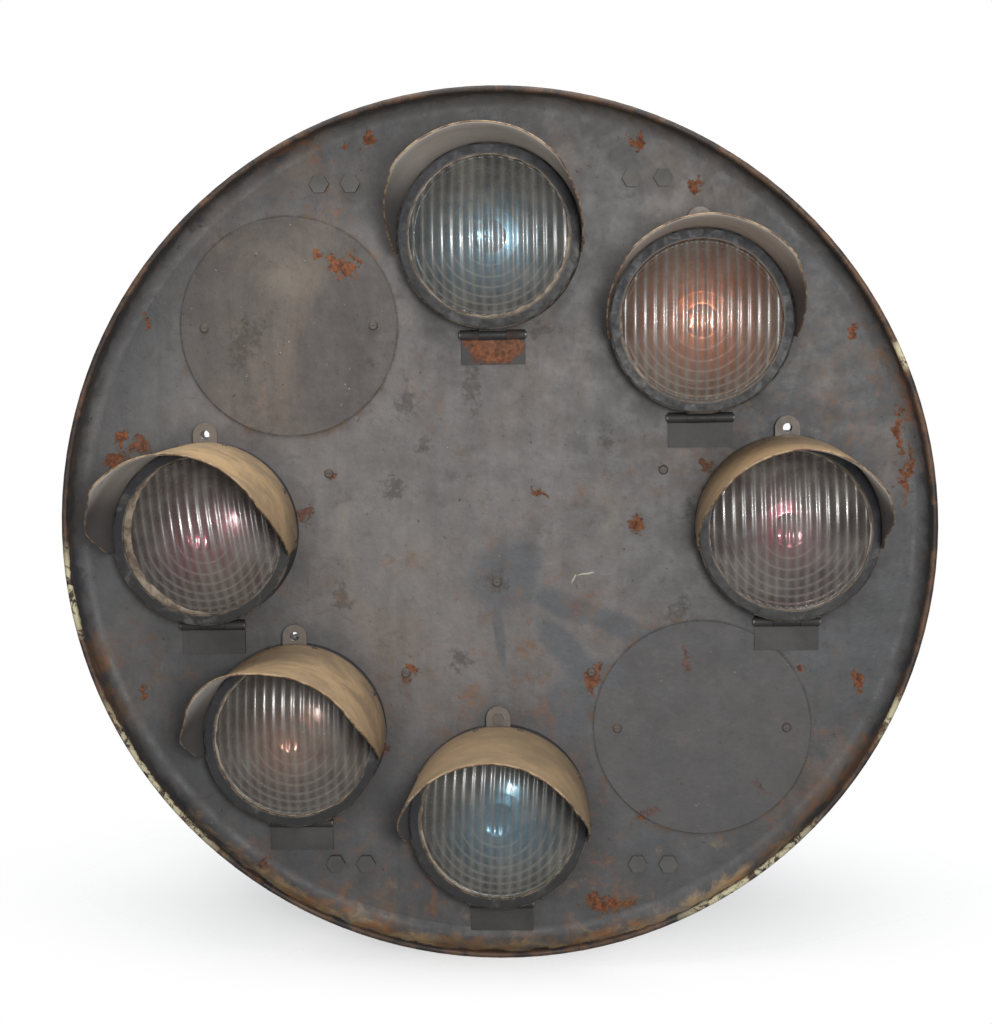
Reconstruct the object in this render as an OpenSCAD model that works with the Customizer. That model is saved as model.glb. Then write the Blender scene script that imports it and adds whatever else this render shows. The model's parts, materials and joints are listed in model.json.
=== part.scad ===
// Railway colour position light signal head: a round steel target disc with six hooded
// lamps, two blanked lamp places, a terminal box and two brackets for a pipe mast.
// Millimetres. +Z is up and the lamps look along -Y. The origin is on the mast's axis.

/* [Target disc] */
// Outer diameter over the rolled lip
disc_d = 1143; // [1120:1:1240]
// Sheet thickness
disc_t = 3; // [2:0.5:5]
// Depth of the rim, from the front face to the lip
rim_depth = 46; // [38:1:60]
// Inner radius of the bend between face and rim
rim_bend_r = 20; // [15:1:30]
// Diameter of the rolled lip
rim_bead_d = 8; // [6:0.5:12]

/* [Lamps] */
// Diameter of the circle that the lamps stand on
lamp_circle_d = 762; // [750:1:780]
// Radius of the hole in the disc behind each lamp
lamp_hole_r = 100; // [90:1:102]

/* [Lens doors] */
// Outer diameter of a lens door
door_d = 236; // [230:1:240]
// Height of a lens door's front above the disc
door_depth = 64; // [60:1:70]
// Wall thickness of a lens door
door_wall = 5; // [4:0.5:6]
// Radius of the opening in a lens door's front lip
door_lip_r = 103.6; // [100:0.1:105]
// Rise of the cover glass's dome
glass_rise = 22; // [15:1:30]
// Thickness of the cover glass
glass_t = 5; // [4:0.5:6]
// Distance from a lamp's axis to its latch ear's hole
ear_r = 129.5; // [128:0.5:131]
// Width of a latch ear
ear_w = 32; // [28:1:36]

/* [Blank plates] */
// Radius of a blank plate
blank_r = 143; // [138:1:145]
// Thickness of a blank plate
blank_t = 2.5; // [2:0.5:3]
// Distance from a blank plate's centre to each of its screws
blank_screw_x = 112; // [105:1:115]

/* [Hoods] */
// Thickness of the hood's sheet
hood_t = 2; // [1:0.5:3]
// Height of the hood's rear edge above the disc
hood_back = 27; // [25:1:32]
// Height of the hood's mouth above the disc
hood_front = 265; // [200:1:290]
// How much wider the hood's mouth is than its base, on the radius
hood_flare = 4; // [0:0.5:6]

/* [Lamp housings] */
// Outer radius of a housing can
can_r = 105; // [104:0.5:108]
// Depth of a housing can behind the disc
can_depth = 172; // [160:1:174]
// Outer radius of a housing flange
flange_r = 125; // [124:0.5:125]

/* [Mast bracket] */
// Outside diameter of the pipe mast
mast_d = 141.3; // [140:0.1:143]
// Distance from the disc's front face to the mast's axis
mast_behind = 300; // [299:1:306]
// Height of each bracket's middle above and below the disc's centre
bracket_z = 454; // [450:1:458]
// Width of the bracket's flat steel
strap_w = 76; // [70:1:80]
// Thickness of the bracket's flat steel
strap_t = 9.5; // [8:0.5:10]
// Distance from the middle to the inner bolt of a foot
foot_bolt_in = 183; // [182:1:186]
// Distance from the middle to the outer bolt of a foot
foot_bolt_out = 224; // [220:1:228]

/* [Terminal box] */
// Width of the box
box_w = 224; // [216:1:230]
// Height of the box
box_h = 120; // [116:1:124]
// Depth of the box
box_depth = 85; // [80:1:88]
// Thickness of the box's sheet
box_t = 2.5; // [2:0.5:3]
// Height of the box's middle
box_z = -145; // [-146:1:-144]

/* [Cables] */
// Radius of each lamp's cable
cable_r = 8; // [6:0.5:8]

/* [Hidden] */
$fn = 96;
LAMP_NAMES = ["top", "upper_right", "right", "bottom", "lower_left", "left"];
LAMP_ANGLES = [90, 45, 0, 270, 225, 180];
BLANK_ANGLES = [135, 315];
GLAND_ANGLES = [270, 180, 180, 90, 0, 0];

tiny = 0.05;
lamp_r = lamp_circle_d / 2;
disc_back_y = -mast_behind + disc_t;
disc_paint = [0.30, 0.31, 0.32];
hood_paint = [0.55, 0.47, 0.33];
steel_paint = [0.22, 0.23, 0.24];
zinc = [0.55, 0.56, 0.56];

// Lens door, measured in the lamp's own frame: x right, y up, z forward from the disc
door_r = door_d / 2;
door_bore_r = door_r - door_wall;
door_back = 2.5;
lip_t = 4;
lip_back = door_depth - lip_t;
lip_round = 3;
seat_r = door_bore_r - 0.5;
retainer_t = 5;
lens_flange_t = 5;
glass_back = lip_back - glass_t;
lens_front = glass_back - 1;
lens_flange_back = lens_front - lens_flange_t;
lens_back = lens_flange_back - 11;
ear_t = 6;
ear_back = 17;
ear_hole_r = 6;

// Hinge under each lens door
hinge_w = 84;
leaf_h = 43;
leaf_t = 5;
hinge_y = -(door_r + 8);
hinge_z = 10;
knuckle_r = 6.5;
knuckle_half = 17.5;
knuckle_gap = 0.5;
pin_r = 3;
pin_bore_r = pin_r + tiny;

// Hood
hood_r = door_r + 0.1;
hood_side_low = -21;
hood_side_front = 88;
hood_top_cut = 76;

// Fasteners
stud_circle_r = 118;
stud_r = 3;
bolt_r = 6.35;
bolt_hole_r = 6.9;
bolt_head_r = 12.83;
bolt_head_h = 8.5;
bolt_nut_h = 11;
u_rod_r = 8;
u_rod_gap = 0.5;
u_nut_r = 13.86;
u_nut_h = 14;
u_spread = 22;
screw_r = 3;
screw_hole_r = 3.3;

// Mast bracket, in plan
mast_r = mast_d / 2;
leg_x = 150;
foot_x = 250;
bend_r = 8;
span_back_y = -82.5;
span_front_y = span_back_y - strap_t;
saddle_half_w = 68;
saddle_back_y = -19;
u_x = mast_r + u_rod_gap + u_rod_r;

// Terminal box
box_front_y = disc_back_y;
box_back_y = box_front_y + box_depth;
box_top_z = box_z + box_h / 2;
box_low_z = box_z - box_h / 2;
box_hinge_y = box_back_y + 7;
box_hinge_z = box_low_z - 4;
box_pin_r = 2.5;
box_knuckle_r = 5;
box_screws = [[0, -72], [-124, -194], [124, -194]];
bar_screws = [[-221, 75], [221, 75]];
bar_half_w = 240;
bar_low_z = 59;
bar_h = 32;
bar_t = 4;
bar_stand = 20;
inlet_z = -170;
inlet_r = 13.5;

// The cables run in one plane behind the disc. Each route starts in its lamp's housing,
// passes the gland and ends inside the terminal box.
cable_back = 35;
cable_y = disc_back_y + cable_back;
cable_hole_r = 8.5;
cable_in = 15;
gland_reach = 138;
cable_start = lamp_r - can_r + cable_in;
lamp_side = lamp_r * cos(45);
CABLE_ROUTES = [
    [[0, cable_start], [0, box_top_z - cable_in]],
    [[lamp_side - can_r + cable_in, lamp_side], [60, lamp_side], [60, box_top_z - cable_in]],
    [[cable_start, 0], [90, 0], [90, box_top_z - cable_in]],
    [[0, -cable_start], [0, box_low_z + cable_in]],
    [[can_r - cable_in - lamp_side, -lamp_side], [-85, -lamp_side], [-85, box_low_z + cable_in]],
    [[-cable_start, 0], [-90, 0], [-90, box_top_z - cable_in]]
];

// Places the children in the disc's frame: x right, y up, z forward from its front face
module on_disc() {
    translate([0, -mast_behind, 0]) rotate([90, 0, 0]) children();
}

// Places the children in a lamp's frame, at an angle round the lamp circle
module at_angle(angle) {
    on_disc() translate([lamp_r * cos(angle), lamp_r * sin(angle), 0]) children();
}

// A bar along x, centred at a height and a distance forward
module bar_x(x_from, x_to, y, z, r) {
    translate([x_from, y, z]) rotate([0, 90, 0]) cylinder(r = r, h = x_to - x_from);
}

// A quarter of a bent sheet's section, round the bend's centre
module bend_quarter(inner_r, t, turn) {
    rotate(turn) intersection() {
        difference() {
            circle(inner_r + t);
            circle(inner_r);
        }
        square(inner_r + t);
    }
}

module disc_section() {
    wall_r = disc_d / 2 - rim_bead_d / 2;
    bend_x = wall_r - disc_t - rim_bend_r;
    lip_z = rim_depth - rim_bead_d / 2;
    translate([0, -disc_t]) square([bend_x, disc_t]);
    translate([bend_x, rim_bend_r]) bend_quarter(rim_bend_r, disc_t, -90);
    translate([wall_r - disc_t, rim_bend_r]) square([disc_t, lip_z - rim_bend_r]);
    translate([wall_r, lip_z]) circle(rim_bead_d / 2);
}

module target_disc() {
    color(disc_paint) difference() {
        on_disc() rotate_extrude($fn = 180) disc_section();
        for (angle = concat(LAMP_ANGLES, BLANK_ANGLES)) at_angle(angle) {
            translate([0, 0, -2 * disc_t]) cylinder(r = lamp_hole_r, h = 4 * disc_t);
            translate([0, ear_r, -2 * disc_t]) cylinder(r = ear_hole_r, h = 4 * disc_t);
        }
        for (angle = BLANK_ANGLES, side = [-1, 1]) at_angle(angle)
            translate([side * blank_screw_x, 0, -2 * disc_t]) cylinder(r = screw_hole_r, h = 4 * disc_t);
        for (side = [-1, 1], x = [foot_bolt_in, foot_bolt_out], z = [-bracket_z, bracket_z])
            on_disc() translate([side * x, z, -2 * disc_t]) cylinder(r = bolt_hole_r, h = 4 * disc_t);
        for (place = concat(box_screws, bar_screws))
            on_disc() translate([place[0], place[1], -2 * disc_t])
                cylinder(r = screw_hole_r, h = 4 * disc_t);
    }
}

// The plate covers the lamp hole and the ear hole of a place that has no lamp. It is notched
// where the next lamp's hinge leaf reaches over its edge
module blank_plate(angle) {
    leaf_gap = 0.4;
    color([0.31, 0.31, 0.31]) difference() {
        at_angle(angle) cylinder(r = blank_r, h = blank_t);
        at_angle(angle) for (side = [-1, 1])
            translate([side * blank_screw_x, 0, -1]) cylinder(r = screw_hole_r, h = 2 * blank_t);
        for (lamp = LAMP_ANGLES) at_angle(lamp)
            translate([-hinge_w / 2 - leaf_gap, hinge_y + 4 - leaf_h - leaf_gap, -1])
                cube([hinge_w + 2 * leaf_gap, leaf_h + 2 * leaf_gap, 2 * blank_t]);
    }
}

// A slotted round-head screw through a stack from z = 0 back, with its nut behind
module slotted_screw(stack, grip) {
    difference() {
        union() {
            translate([0, 0, stack]) cylinder(r1 = 6.5, r2 = 4.5, h = 3.2);
            translate([0, 0, -grip - 7]) cylinder(r = screw_r, h = stack + grip + 7);
        }
        translate([-8, -0.7, stack + 1.8]) cube([16, 1.4, 2]);
    }
    translate([0, 0, -grip - 5]) difference() {
        cylinder(r = 5.8, h = 5, $fn = 6);
        translate([0, 0, -1]) cylinder(r = screw_r + tiny, h = 7);
    }
}

module blank_plate_screws() {
    color(zinc) for (angle = BLANK_ANGLES, side = [-1, 1])
        at_angle(angle) translate([side * blank_screw_x, 0, 0]) slotted_screw(blank_t, disc_t);
}

module front_screws() {
    color(zinc) on_disc() {
        for (place = box_screws) translate(place) slotted_screw(0, disc_t + box_t);
        for (place = bar_screws) translate(place) slotted_screw(0, disc_t + bar_t);
    }
}

module door_ring() {
    rotate_extrude() {
        translate([door_bore_r, door_back]) square([door_wall, door_depth - lip_round - door_back]);
        translate([door_lip_r, lip_back]) square([door_r - lip_round - door_lip_r, lip_t]);
        translate([door_r - lip_round, door_depth - lip_round]) intersection() {
            circle(lip_round);
            square(lip_round);
        }
    }
}

module lens_door(angle) {
    color(steel_paint) at_angle(angle) {
        difference() {
            union() {
                door_ring();
                translate([0, ear_r, ear_back]) cylinder(r = ear_w / 2, h = ear_t);
                translate([-ear_w / 2, door_bore_r + 1, ear_back])
                    cube([ear_w, ear_r - door_bore_r - 1, ear_t]);
                bar_x(-knuckle_half, knuckle_half, hinge_y, hinge_z, knuckle_r);
                translate([-knuckle_half, hinge_y, hinge_z - 4])
                    cube([2 * knuckle_half, -hinge_y - door_bore_r - 1.5, 8]);
            }
            translate([0, ear_r, ear_back - 1]) cylinder(r = ear_hole_r, h = ear_t + 2);
            bar_x(-knuckle_half - 1, knuckle_half + 1, hinge_y, hinge_z, pin_bore_r);
        }
        // Retaining ring behind the lens
        translate([0, 0, lens_flange_back - retainer_t]) difference() {
            cylinder(r = door_bore_r - tiny, h = retainer_t);
            translate([0, 0, -1]) cylinder(r = 104, h = retainer_t + 2);
        }
    }
}

// The clear cover glass: a flange in the door and a dome through its lip
module cover_glass(angle) {
    dome_r = door_lip_r - 0.6;
    ball_r = (pow(dome_r, 2) + pow(glass_rise, 2)) / (2 * glass_rise);
    ball_z = lip_back + glass_rise - ball_r;
    color([0.80, 0.84, 0.84, 0.45]) at_angle(angle) rotate_extrude() {
        intersection() {
            translate([0, ball_z]) difference() {
                circle(ball_r, $fn = 180);
                circle(ball_r - glass_t, $fn = 180);
            }
            translate([0, glass_back]) square([dome_r, glass_t + glass_rise + 5]);
        }
        translate([dome_r - 6, glass_back]) square([seat_r - dome_r + 6, glass_t]);
    }
}

// The coloured stepped lens: ring-shaped facets in front, flat behind
module color_lens(angle, tint) {
    rings = [0, 22, 37, 52, 65, 77, 87, 97, 103];
    facets = [
        for (i = [1 : len(rings) - 1]) each [
            [rings[i - 1], lens_front - 2],
            [rings[i], lens_front - 4 - 0.25 * i]
        ]
    ];
    color(tint) at_angle(angle) rotate_extrude() {
        polygon(concat([[0, lens_back]], facets, [[103, lens_back]]));
        translate([102, lens_flange_back]) square([seat_r - 102, lens_flange_t]);
    }
}

module hood_section() {
    polygon([
        [hood_r, hood_back], [hood_r + hood_t, hood_back], [hood_r + hood_t, door_depth],
        [hood_r + hood_flare + hood_t, hood_front], [hood_r + hood_flare, hood_front],
        [hood_r, door_depth]
    ]);
}

// Side outline of the hood: x forward, y up. The sides slope back below the mouth.
module hood_side() {
    reach = hood_front + 1;
    polygon([
        [hood_back - 1, hood_side_low], [hood_side_front, hood_side_low],
        [reach, hood_top_cut], [reach, door_d], [hood_back - 1, door_d]
    ]);
}

module hood(angle) {
    color(hood_paint) at_angle(angle) intersection() {
        rotate_extrude() hood_section();
        translate([door_d, 0, 0]) rotate([0, -90, 0]) linear_extrude(2 * door_d) hood_side();
    }
}

module hinge_leaves() {
    color([0.36, 0.25, 0.18]) for (angle = LAMP_ANGLES) at_angle(angle) difference() {
        union() {
            translate([-hinge_w / 2, hinge_y + 4 - leaf_h, 0]) cube([hinge_w, leaf_h, leaf_t]);
            translate([-hinge_w / 2, hinge_y - knuckle_r, 0]) cube([hinge_w, 2 * knuckle_r, hinge_z]);
            bar_x(-hinge_w / 2, hinge_w / 2, hinge_y, hinge_z, knuckle_r);
        }
        translate([-knuckle_half - knuckle_gap, hinge_y - knuckle_r - 1, -1])
            cube([2 * (knuckle_half + knuckle_gap), 30, 30]);
        bar_x(-hinge_w, hinge_w, hinge_y, hinge_z, pin_bore_r);
    }
}

module hinge_pins() {
    color(zinc) for (angle = LAMP_ANGLES) at_angle(angle) {
        bar_x(-hinge_w / 2 - 2, hinge_w / 2 + 2, hinge_y, hinge_z, pin_r);
        for (x = [-hinge_w / 2 - 2, hinge_w / 2]) bar_x(x, x + 2, hinge_y, hinge_z, 4.5);
    }
}

module door_gaskets() {
    color([0.12, 0.12, 0.12]) for (angle = LAMP_ANGLES) at_angle(angle) difference() {
        cylinder(r = door_r - 1, h = door_back - 0.3);
        translate([0, 0, -1]) cylinder(r = door_r - 10, h = door_back + 2);
    }
}

// The one latch bolt that is still in its ear
module latch_bolt_bottom() {
    color(zinc) at_angle(270) translate([0, ear_r, 0]) {
        translate([0, 0, ear_back + ear_t]) cylinder(r = 7.5, h = 5.5, $fn = 6);
        translate([0, 0, -10]) cylinder(r = 4, h = ear_back + ear_t + 10);
    }
}

module lamp_housing(i) {
    gland = GLAND_ANGLES[i];
    color(steel_paint) at_angle(LAMP_ANGLES[i]) difference() {
        union() {
            translate([0, 0, -disc_t - can_depth]) cylinder(r = can_r, h = can_depth);
            translate([0, 0, -disc_t - 3]) cylinder(r = flange_r, h = 3);
        }
        translate([0, 0, -disc_t - can_depth + 2]) cylinder(r = can_r - 2, h = can_depth);
        for (turn = [45 : 90 : 315]) rotate(turn)
            translate([stud_circle_r, 0, -disc_t - 4]) cylinder(r = screw_hole_r, h = 5);
        rotate(gland) translate([can_r - 10, 0, -disc_t - cable_back])
            rotate([0, 90, 0]) cylinder(r = 11, h = 20);
    }
}

// Studs welded to the disc's back, with their nuts
module housing_fasteners() {
    color(zinc) for (angle = LAMP_ANGLES, turn = [45 : 90 : 315])
        at_angle(angle) rotate(turn) translate([stud_circle_r, 0, -disc_t]) {
            translate([0, 0, -14]) cylinder(r = stud_r, h = 14);
            translate([0, 0, -8]) difference() {
                cylinder(r = 5.8, h = 5, $fn = 6);
                translate([0, 0, -1]) cylinder(r = stud_r + tiny, h = 7);
            }
        }
}

module socket_brackets() {
    floor_z = -disc_t - can_depth + 2;
    color(zinc) for (angle = LAMP_ANGLES) at_angle(angle) translate([0, 0, floor_z]) {
        cylinder(r = 32, h = 3);
        cylinder(r = 12, h = 34);
        translate([0, 0, 31]) cylinder(r = 20, h = 3);
    }
}

module lamp_sockets() {
    socket_z = -disc_t - can_depth + 36;
    color([0.15, 0.13, 0.12]) for (angle = LAMP_ANGLES) at_angle(angle)
        translate([0, 0, socket_z]) difference() {
            union() {
                cylinder(r = 17, h = 22);
                cylinder(r = 14, h = 30);
            }
            translate([0, 0, 10]) cylinder(r = 9.6, h = 25);
        }
}

module bulb_bases() {
    color([0.7, 0.6, 0.35]) for (angle = LAMP_ANGLES) at_angle(angle)
        translate([0, 0, -disc_t - can_depth + 46]) cylinder(r = 9.5, h = 26);
}

module bulbs() {
    color([0.9, 0.9, 0.85, 0.5]) for (angle = LAMP_ANGLES) at_angle(angle)
        translate([0, 0, -disc_t - can_depth + 72]) {
            cylinder(r = 9, h = 16);
            translate([0, 0, 24]) sphere(r = 16);
        }
}

module cable_glands() {
    color(zinc) for (i = [0 : len(LAMP_ANGLES) - 1]) at_angle(LAMP_ANGLES[i])
        rotate(GLAND_ANGLES[i]) translate([0, 0, -disc_t - cable_back]) rotate([0, 90, 0])
            difference() {
                union() {
                    translate([0, 0, can_r - 5]) cylinder(r = 10.9, h = gland_reach - can_r + 5);
                    translate([0, 0, can_r + 1]) cylinder(r = 15.5, h = 12, $fn = 6);
                    translate([0, 0, can_r + 13]) cylinder(r = 12.5, h = 20);
                }
                translate([0, 0, can_r - 6]) cylinder(r = cable_hole_r, h = 50);
            }
}

// Cables with round corners, each a run of straight lengths in the plane
module lamp_cables() {
    color([0.08, 0.08, 0.08]) on_disc() translate([0, 0, -disc_t - cable_back])
        for (route = CABLE_ROUTES) {
            for (i = [1 : len(route) - 1]) {
                run = route[i] - route[i - 1];
                translate(route[i - 1]) rotate([0, 90, atan2(run[1], run[0])])
                    cylinder(r = cable_r, h = norm(run));
            }
            if (len(route) > 2) translate(route[1]) sphere(r = cable_r);
        }
}

module stiffener_bar() {
    color(steel_paint) difference() {
        union() {
            translate([-bar_half_w, disc_back_y, bar_low_z]) cube([2 * bar_half_w, bar_t, bar_h]);
            translate([-bar_half_w, disc_back_y, bar_low_z]) cube([2 * bar_half_w, bar_stand, bar_t]);
        }
        on_disc() for (place = bar_screws) translate([place[0], place[1], -disc_t - bar_t - 1])
            cylinder(r = screw_hole_r, h = bar_t + 2);
    }
}

module strap_half() {
    foot_bend_x = leg_x + strap_t + bend_r;
    foot_bend_y = disc_back_y + strap_t + bend_r;
    span_bend_y = span_front_y - bend_r;
    translate([foot_bend_x, disc_back_y]) square([foot_x - foot_bend_x, strap_t]);
    translate([foot_bend_x, foot_bend_y]) bend_quarter(bend_r, strap_t, 180);
    translate([leg_x, foot_bend_y]) square([strap_t, span_bend_y - foot_bend_y]);
    translate([leg_x - bend_r, span_bend_y]) bend_quarter(bend_r, strap_t, 0);
    translate([0, span_front_y]) square([leg_x - bend_r, strap_t]);
}

module bracket(z) {
    color(steel_paint) translate([0, 0, z]) difference() {
        translate([0, 0, -strap_w / 2]) linear_extrude(strap_w) {
            strap_half();
            mirror([1, 0]) strap_half();
        }
        for (side = [-1, 1], x = [foot_bolt_in, foot_bolt_out])
            translate([side * x, disc_back_y - 1, 0]) rotate([-90, 0, 0])
                cylinder(r = bolt_hole_r, h = strap_t + 2);
        for (side = [-1, 1], dz = [-u_spread, u_spread])
            translate([side * u_x, span_front_y - 1, dz]) rotate([-90, 0, 0])
                cylinder(r = u_rod_r + 0.6, h = strap_t + 2);
    }
}

module bracket_bolts() {
    color(zinc) on_disc() for (side = [-1, 1], x = [foot_bolt_in, foot_bolt_out],
                               z = [-bracket_z, bracket_z]) translate([side * x, z, 0]) {
        cylinder(r = bolt_head_r, h = bolt_head_h, $fn = 6);
        translate([0, 0, -28]) cylinder(r = bolt_r, h = 28);
    }
}

// Nuts on the foot bolts and on the U-bolts
module hex_nuts() {
    color(zinc) for (side = [-1, 1], z = [-bracket_z, bracket_z]) {
        for (x = [foot_bolt_in, foot_bolt_out])
            translate([side * x, disc_back_y + strap_t, z]) rotate([-90, 0, 0]) difference() {
                cylinder(r = bolt_head_r, h = bolt_nut_h, $fn = 6);
                translate([0, 0, -1]) cylinder(r = bolt_r + tiny, h = bolt_nut_h + 2);
            }
        for (dz = [-u_spread, u_spread])
            translate([side * u_x, span_front_y, z + dz]) rotate([90, 0, 0]) difference() {
                cylinder(r = u_nut_r, h = u_nut_h, $fn = 6);
                translate([0, 0, -1]) cylinder(r = u_rod_r + tiny, h = u_nut_h + 2);
            }
    }
}

module mast_saddle(z) {
    color(steel_paint) translate([0, 0, z - strap_w / 2]) difference() {
        translate([-saddle_half_w, span_back_y, 0])
            cube([2 * saddle_half_w, saddle_back_y - span_back_y, strap_w]);
        translate([0, 0, -1]) cylinder(r = mast_r, h = strap_w + 2);
    }
}

module u_bolts() {
    leg = -span_front_y + u_nut_h + 5;
    color(zinc) for (z = [-bracket_z, bracket_z], dz = [-u_spread, u_spread])
        translate([0, 0, z + dz]) {
            intersection() {
                rotate_extrude() translate([u_x, 0]) circle(u_rod_r);
                translate([-2 * u_x, 0, -2 * u_rod_r]) cube([4 * u_x, 2 * u_x, 4 * u_rod_r]);
            }
            for (side = [-1, 1]) translate([side * u_x, 0, 0]) rotate([90, 0, 0])
                cylinder(r = u_rod_r, h = leg);
        }
}

module terminal_box() {
    color(steel_paint) difference() {
        union() {
            translate([-box_w / 2, box_front_y, box_low_z]) cube([box_w, box_depth, box_h]);
            for (place = box_screws) translate([place[0], box_front_y, place[1]])
                rotate([-90, 0, 0]) cylinder(r = 15, h = box_t);
            // Knuckles under the open back
            for (side = [-1, 1]) {
                translate([side * 65 - 25, box_hinge_y, box_hinge_z]) rotate([0, 90, 0])
                    cylinder(r = box_knuckle_r, h = 50);
                translate([side * 65 - 25, box_back_y - 12, box_hinge_z - box_knuckle_r])
                    cube([50, 12 + box_hinge_y - box_back_y, 3]);
                translate([side * 65 - 25, box_back_y - 12, box_hinge_z - box_knuckle_r])
                    cube([50, 6, box_low_z - box_hinge_z + box_knuckle_r + 1]);
            }
            // Boss of the cable inlet
            translate([box_w / 2 - 1, cable_y, inlet_z]) rotate([0, 90, 0])
                cylinder(r = inlet_r + 4, h = 21);
        }
        translate([-box_w / 2 + box_t, box_front_y + box_t, box_low_z + box_t])
            cube([box_w - 2 * box_t, box_depth, box_h - 2 * box_t]);
        for (place = box_screws) translate([place[0], box_front_y - 1, place[1]])
            rotate([-90, 0, 0]) cylinder(r = screw_hole_r, h = box_t + 2);
        for (x = [-90, 0, 60, 90]) translate([x, cable_y, box_top_z - box_t - 1])
            cylinder(r = cable_hole_r, h = box_t + 2);
        for (x = [-85, 0]) translate([x, cable_y, box_low_z - 1])
            cylinder(r = cable_hole_r, h = box_t + 2);
        translate([box_w / 2 - box_t - 1, cable_y, inlet_z]) rotate([0, 90, 0])
            cylinder(r = inlet_r, h = 30);
        translate([-box_w, box_hinge_y, box_hinge_z]) rotate([0, 90, 0])
            cylinder(r = box_pin_r + tiny, h = 2 * box_w);
    }
}

module terminal_box_door() {
    door_y = box_back_y + 0.5;
    color([0.27, 0.28, 0.29]) difference() {
        union() {
            translate([-box_w / 2, door_y, box_low_z + 1]) cube([box_w, box_t, box_h - 1]);
            translate([-39, box_hinge_y, box_hinge_z]) rotate([0, 90, 0])
                cylinder(r = box_knuckle_r, h = 78);
            translate([-39, door_y, box_hinge_z + 1]) cube([78, box_t, box_low_z - box_hinge_z + 2]);
            translate([-39, door_y + 1, box_hinge_z]) cube([78, 5, 3.5]);
        }
        translate([-45, box_hinge_y, box_hinge_z]) rotate([0, 90, 0])
            cylinder(r = box_pin_r + tiny, h = 90);
        translate([0, door_y - 1, box_top_z - 12]) rotate([-90, 0, 0])
            cylinder(r = screw_hole_r, h = box_t + 2);
    }
}

module terminal_box_hinge_pin() {
    color(zinc) {
        translate([-94, box_hinge_y, box_hinge_z]) rotate([0, 90, 0]) cylinder(r = box_pin_r, h = 188);
        for (x = [-94, 91]) translate([x, box_hinge_y, box_hinge_z]) rotate([0, 90, 0])
            cylinder(r = 4, h = 3);
    }
}

module box_wing_screw() {
    head_y = box_back_y + 0.5 + box_t;
    color(zinc) translate([0, head_y, box_top_z - 12]) {
        rotate([-90, 0, 0]) cylinder(r = 7, h = 9);
        translate([-17, 3, -1.5]) cube([34, 6, 3]);
        rotate([90, 0, 0]) cylinder(r = screw_r, h = 14);
    }
}

module terminal_block() {
    color([0.16, 0.10, 0.08]) translate([-75, box_front_y + box_t, box_z - 20]) cube([150, 22, 40]);
}

module terminal_studs() {
    color([0.7, 0.6, 0.35]) for (x = [-60 : 24 : 60], z = [-10, 10])
        translate([x, box_front_y + box_t + 22, box_z + z]) rotate([-90, 0, 0]) {
            cylinder(r = 2.5, h = 14);
            cylinder(r = 5, h = 4, $fn = 6);
        }
}

green_tint = [0.05, 0.45, 0.50, 0.7];
yellow_tint = [0.90, 0.42, 0.12, 0.7];
red_tint = [0.50, 0.05, 0.12, 0.7];
LAMP_TINTS = [green_tint, yellow_tint, red_tint, green_tint, yellow_tint, red_tint];

for (i = [0 : len(LAMP_NAMES) - 1]) {
    name = LAMP_NAMES[i];
    lens_door(LAMP_ANGLES[i]);
    hood(LAMP_ANGLES[i]);
    cover_glass(LAMP_ANGLES[i]);
    color_lens(LAMP_ANGLES[i], LAMP_TINTS[i]);
    lamp_housing(i);
}
target_disc();
blank_plate(BLANK_ANGLES[0]);  // blank_plate_upper_left
blank_plate(BLANK_ANGLES[1]);  // blank_plate_lower_right
blank_plate_screws();
hinge_leaves();
hinge_pins();
door_gaskets();
latch_bolt_bottom();
housing_fasteners();
socket_brackets();
lamp_sockets();
bulbs();
bulb_bases();
cable_glands();
lamp_cables();
stiffener_bar();
front_screws();
bracket(bracket_z);  // bracket_upper
bracket(-bracket_z);  // bracket_lower
bracket_bolts();
hex_nuts();
mast_saddle(bracket_z);  // mast_saddle_upper
mast_saddle(-bracket_z);  // mast_saddle_lower
u_bolts();
terminal_box();
terminal_box_door();
terminal_box_hinge_pin();
box_wing_screw();
terminal_block();
terminal_studs();
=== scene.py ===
"""Looks of a weathered railway position light signal head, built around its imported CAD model.

Everything is in metres in the CAD frame: +Z up along the mast, +X to the right seen from the front,
and the lamps look along -Y. The CAD nodes keep their places; the hoods, glasses and lenses are
replaced by meshes that show their flutes, steps, dents and worn edges.
"""
import json
import math

import bpy
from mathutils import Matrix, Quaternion, Vector, noise


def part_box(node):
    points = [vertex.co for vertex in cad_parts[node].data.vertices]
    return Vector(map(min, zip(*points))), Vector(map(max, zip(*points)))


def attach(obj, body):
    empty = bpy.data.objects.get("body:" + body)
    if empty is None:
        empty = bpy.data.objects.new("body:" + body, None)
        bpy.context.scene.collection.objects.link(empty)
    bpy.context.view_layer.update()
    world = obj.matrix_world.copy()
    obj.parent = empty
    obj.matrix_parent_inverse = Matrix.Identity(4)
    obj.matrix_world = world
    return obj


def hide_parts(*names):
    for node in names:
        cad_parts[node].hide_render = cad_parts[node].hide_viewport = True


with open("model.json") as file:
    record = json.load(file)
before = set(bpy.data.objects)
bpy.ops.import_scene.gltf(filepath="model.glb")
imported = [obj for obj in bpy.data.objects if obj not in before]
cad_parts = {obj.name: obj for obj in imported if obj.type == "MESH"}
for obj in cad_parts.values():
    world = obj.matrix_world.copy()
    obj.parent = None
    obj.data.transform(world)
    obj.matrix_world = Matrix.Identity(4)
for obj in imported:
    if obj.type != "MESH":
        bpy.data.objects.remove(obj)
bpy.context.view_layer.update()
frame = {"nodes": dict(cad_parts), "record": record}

MM = 0.001
NODES = frame["nodes"]
LAMPS = ("top", "upper_right", "right", "bottom", "lower_left", "left")
DISC_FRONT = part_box("blank_plate_upper_left")[1].y


def centre_of(node):
    low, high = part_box(node)
    return (low + high) / 2


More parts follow.
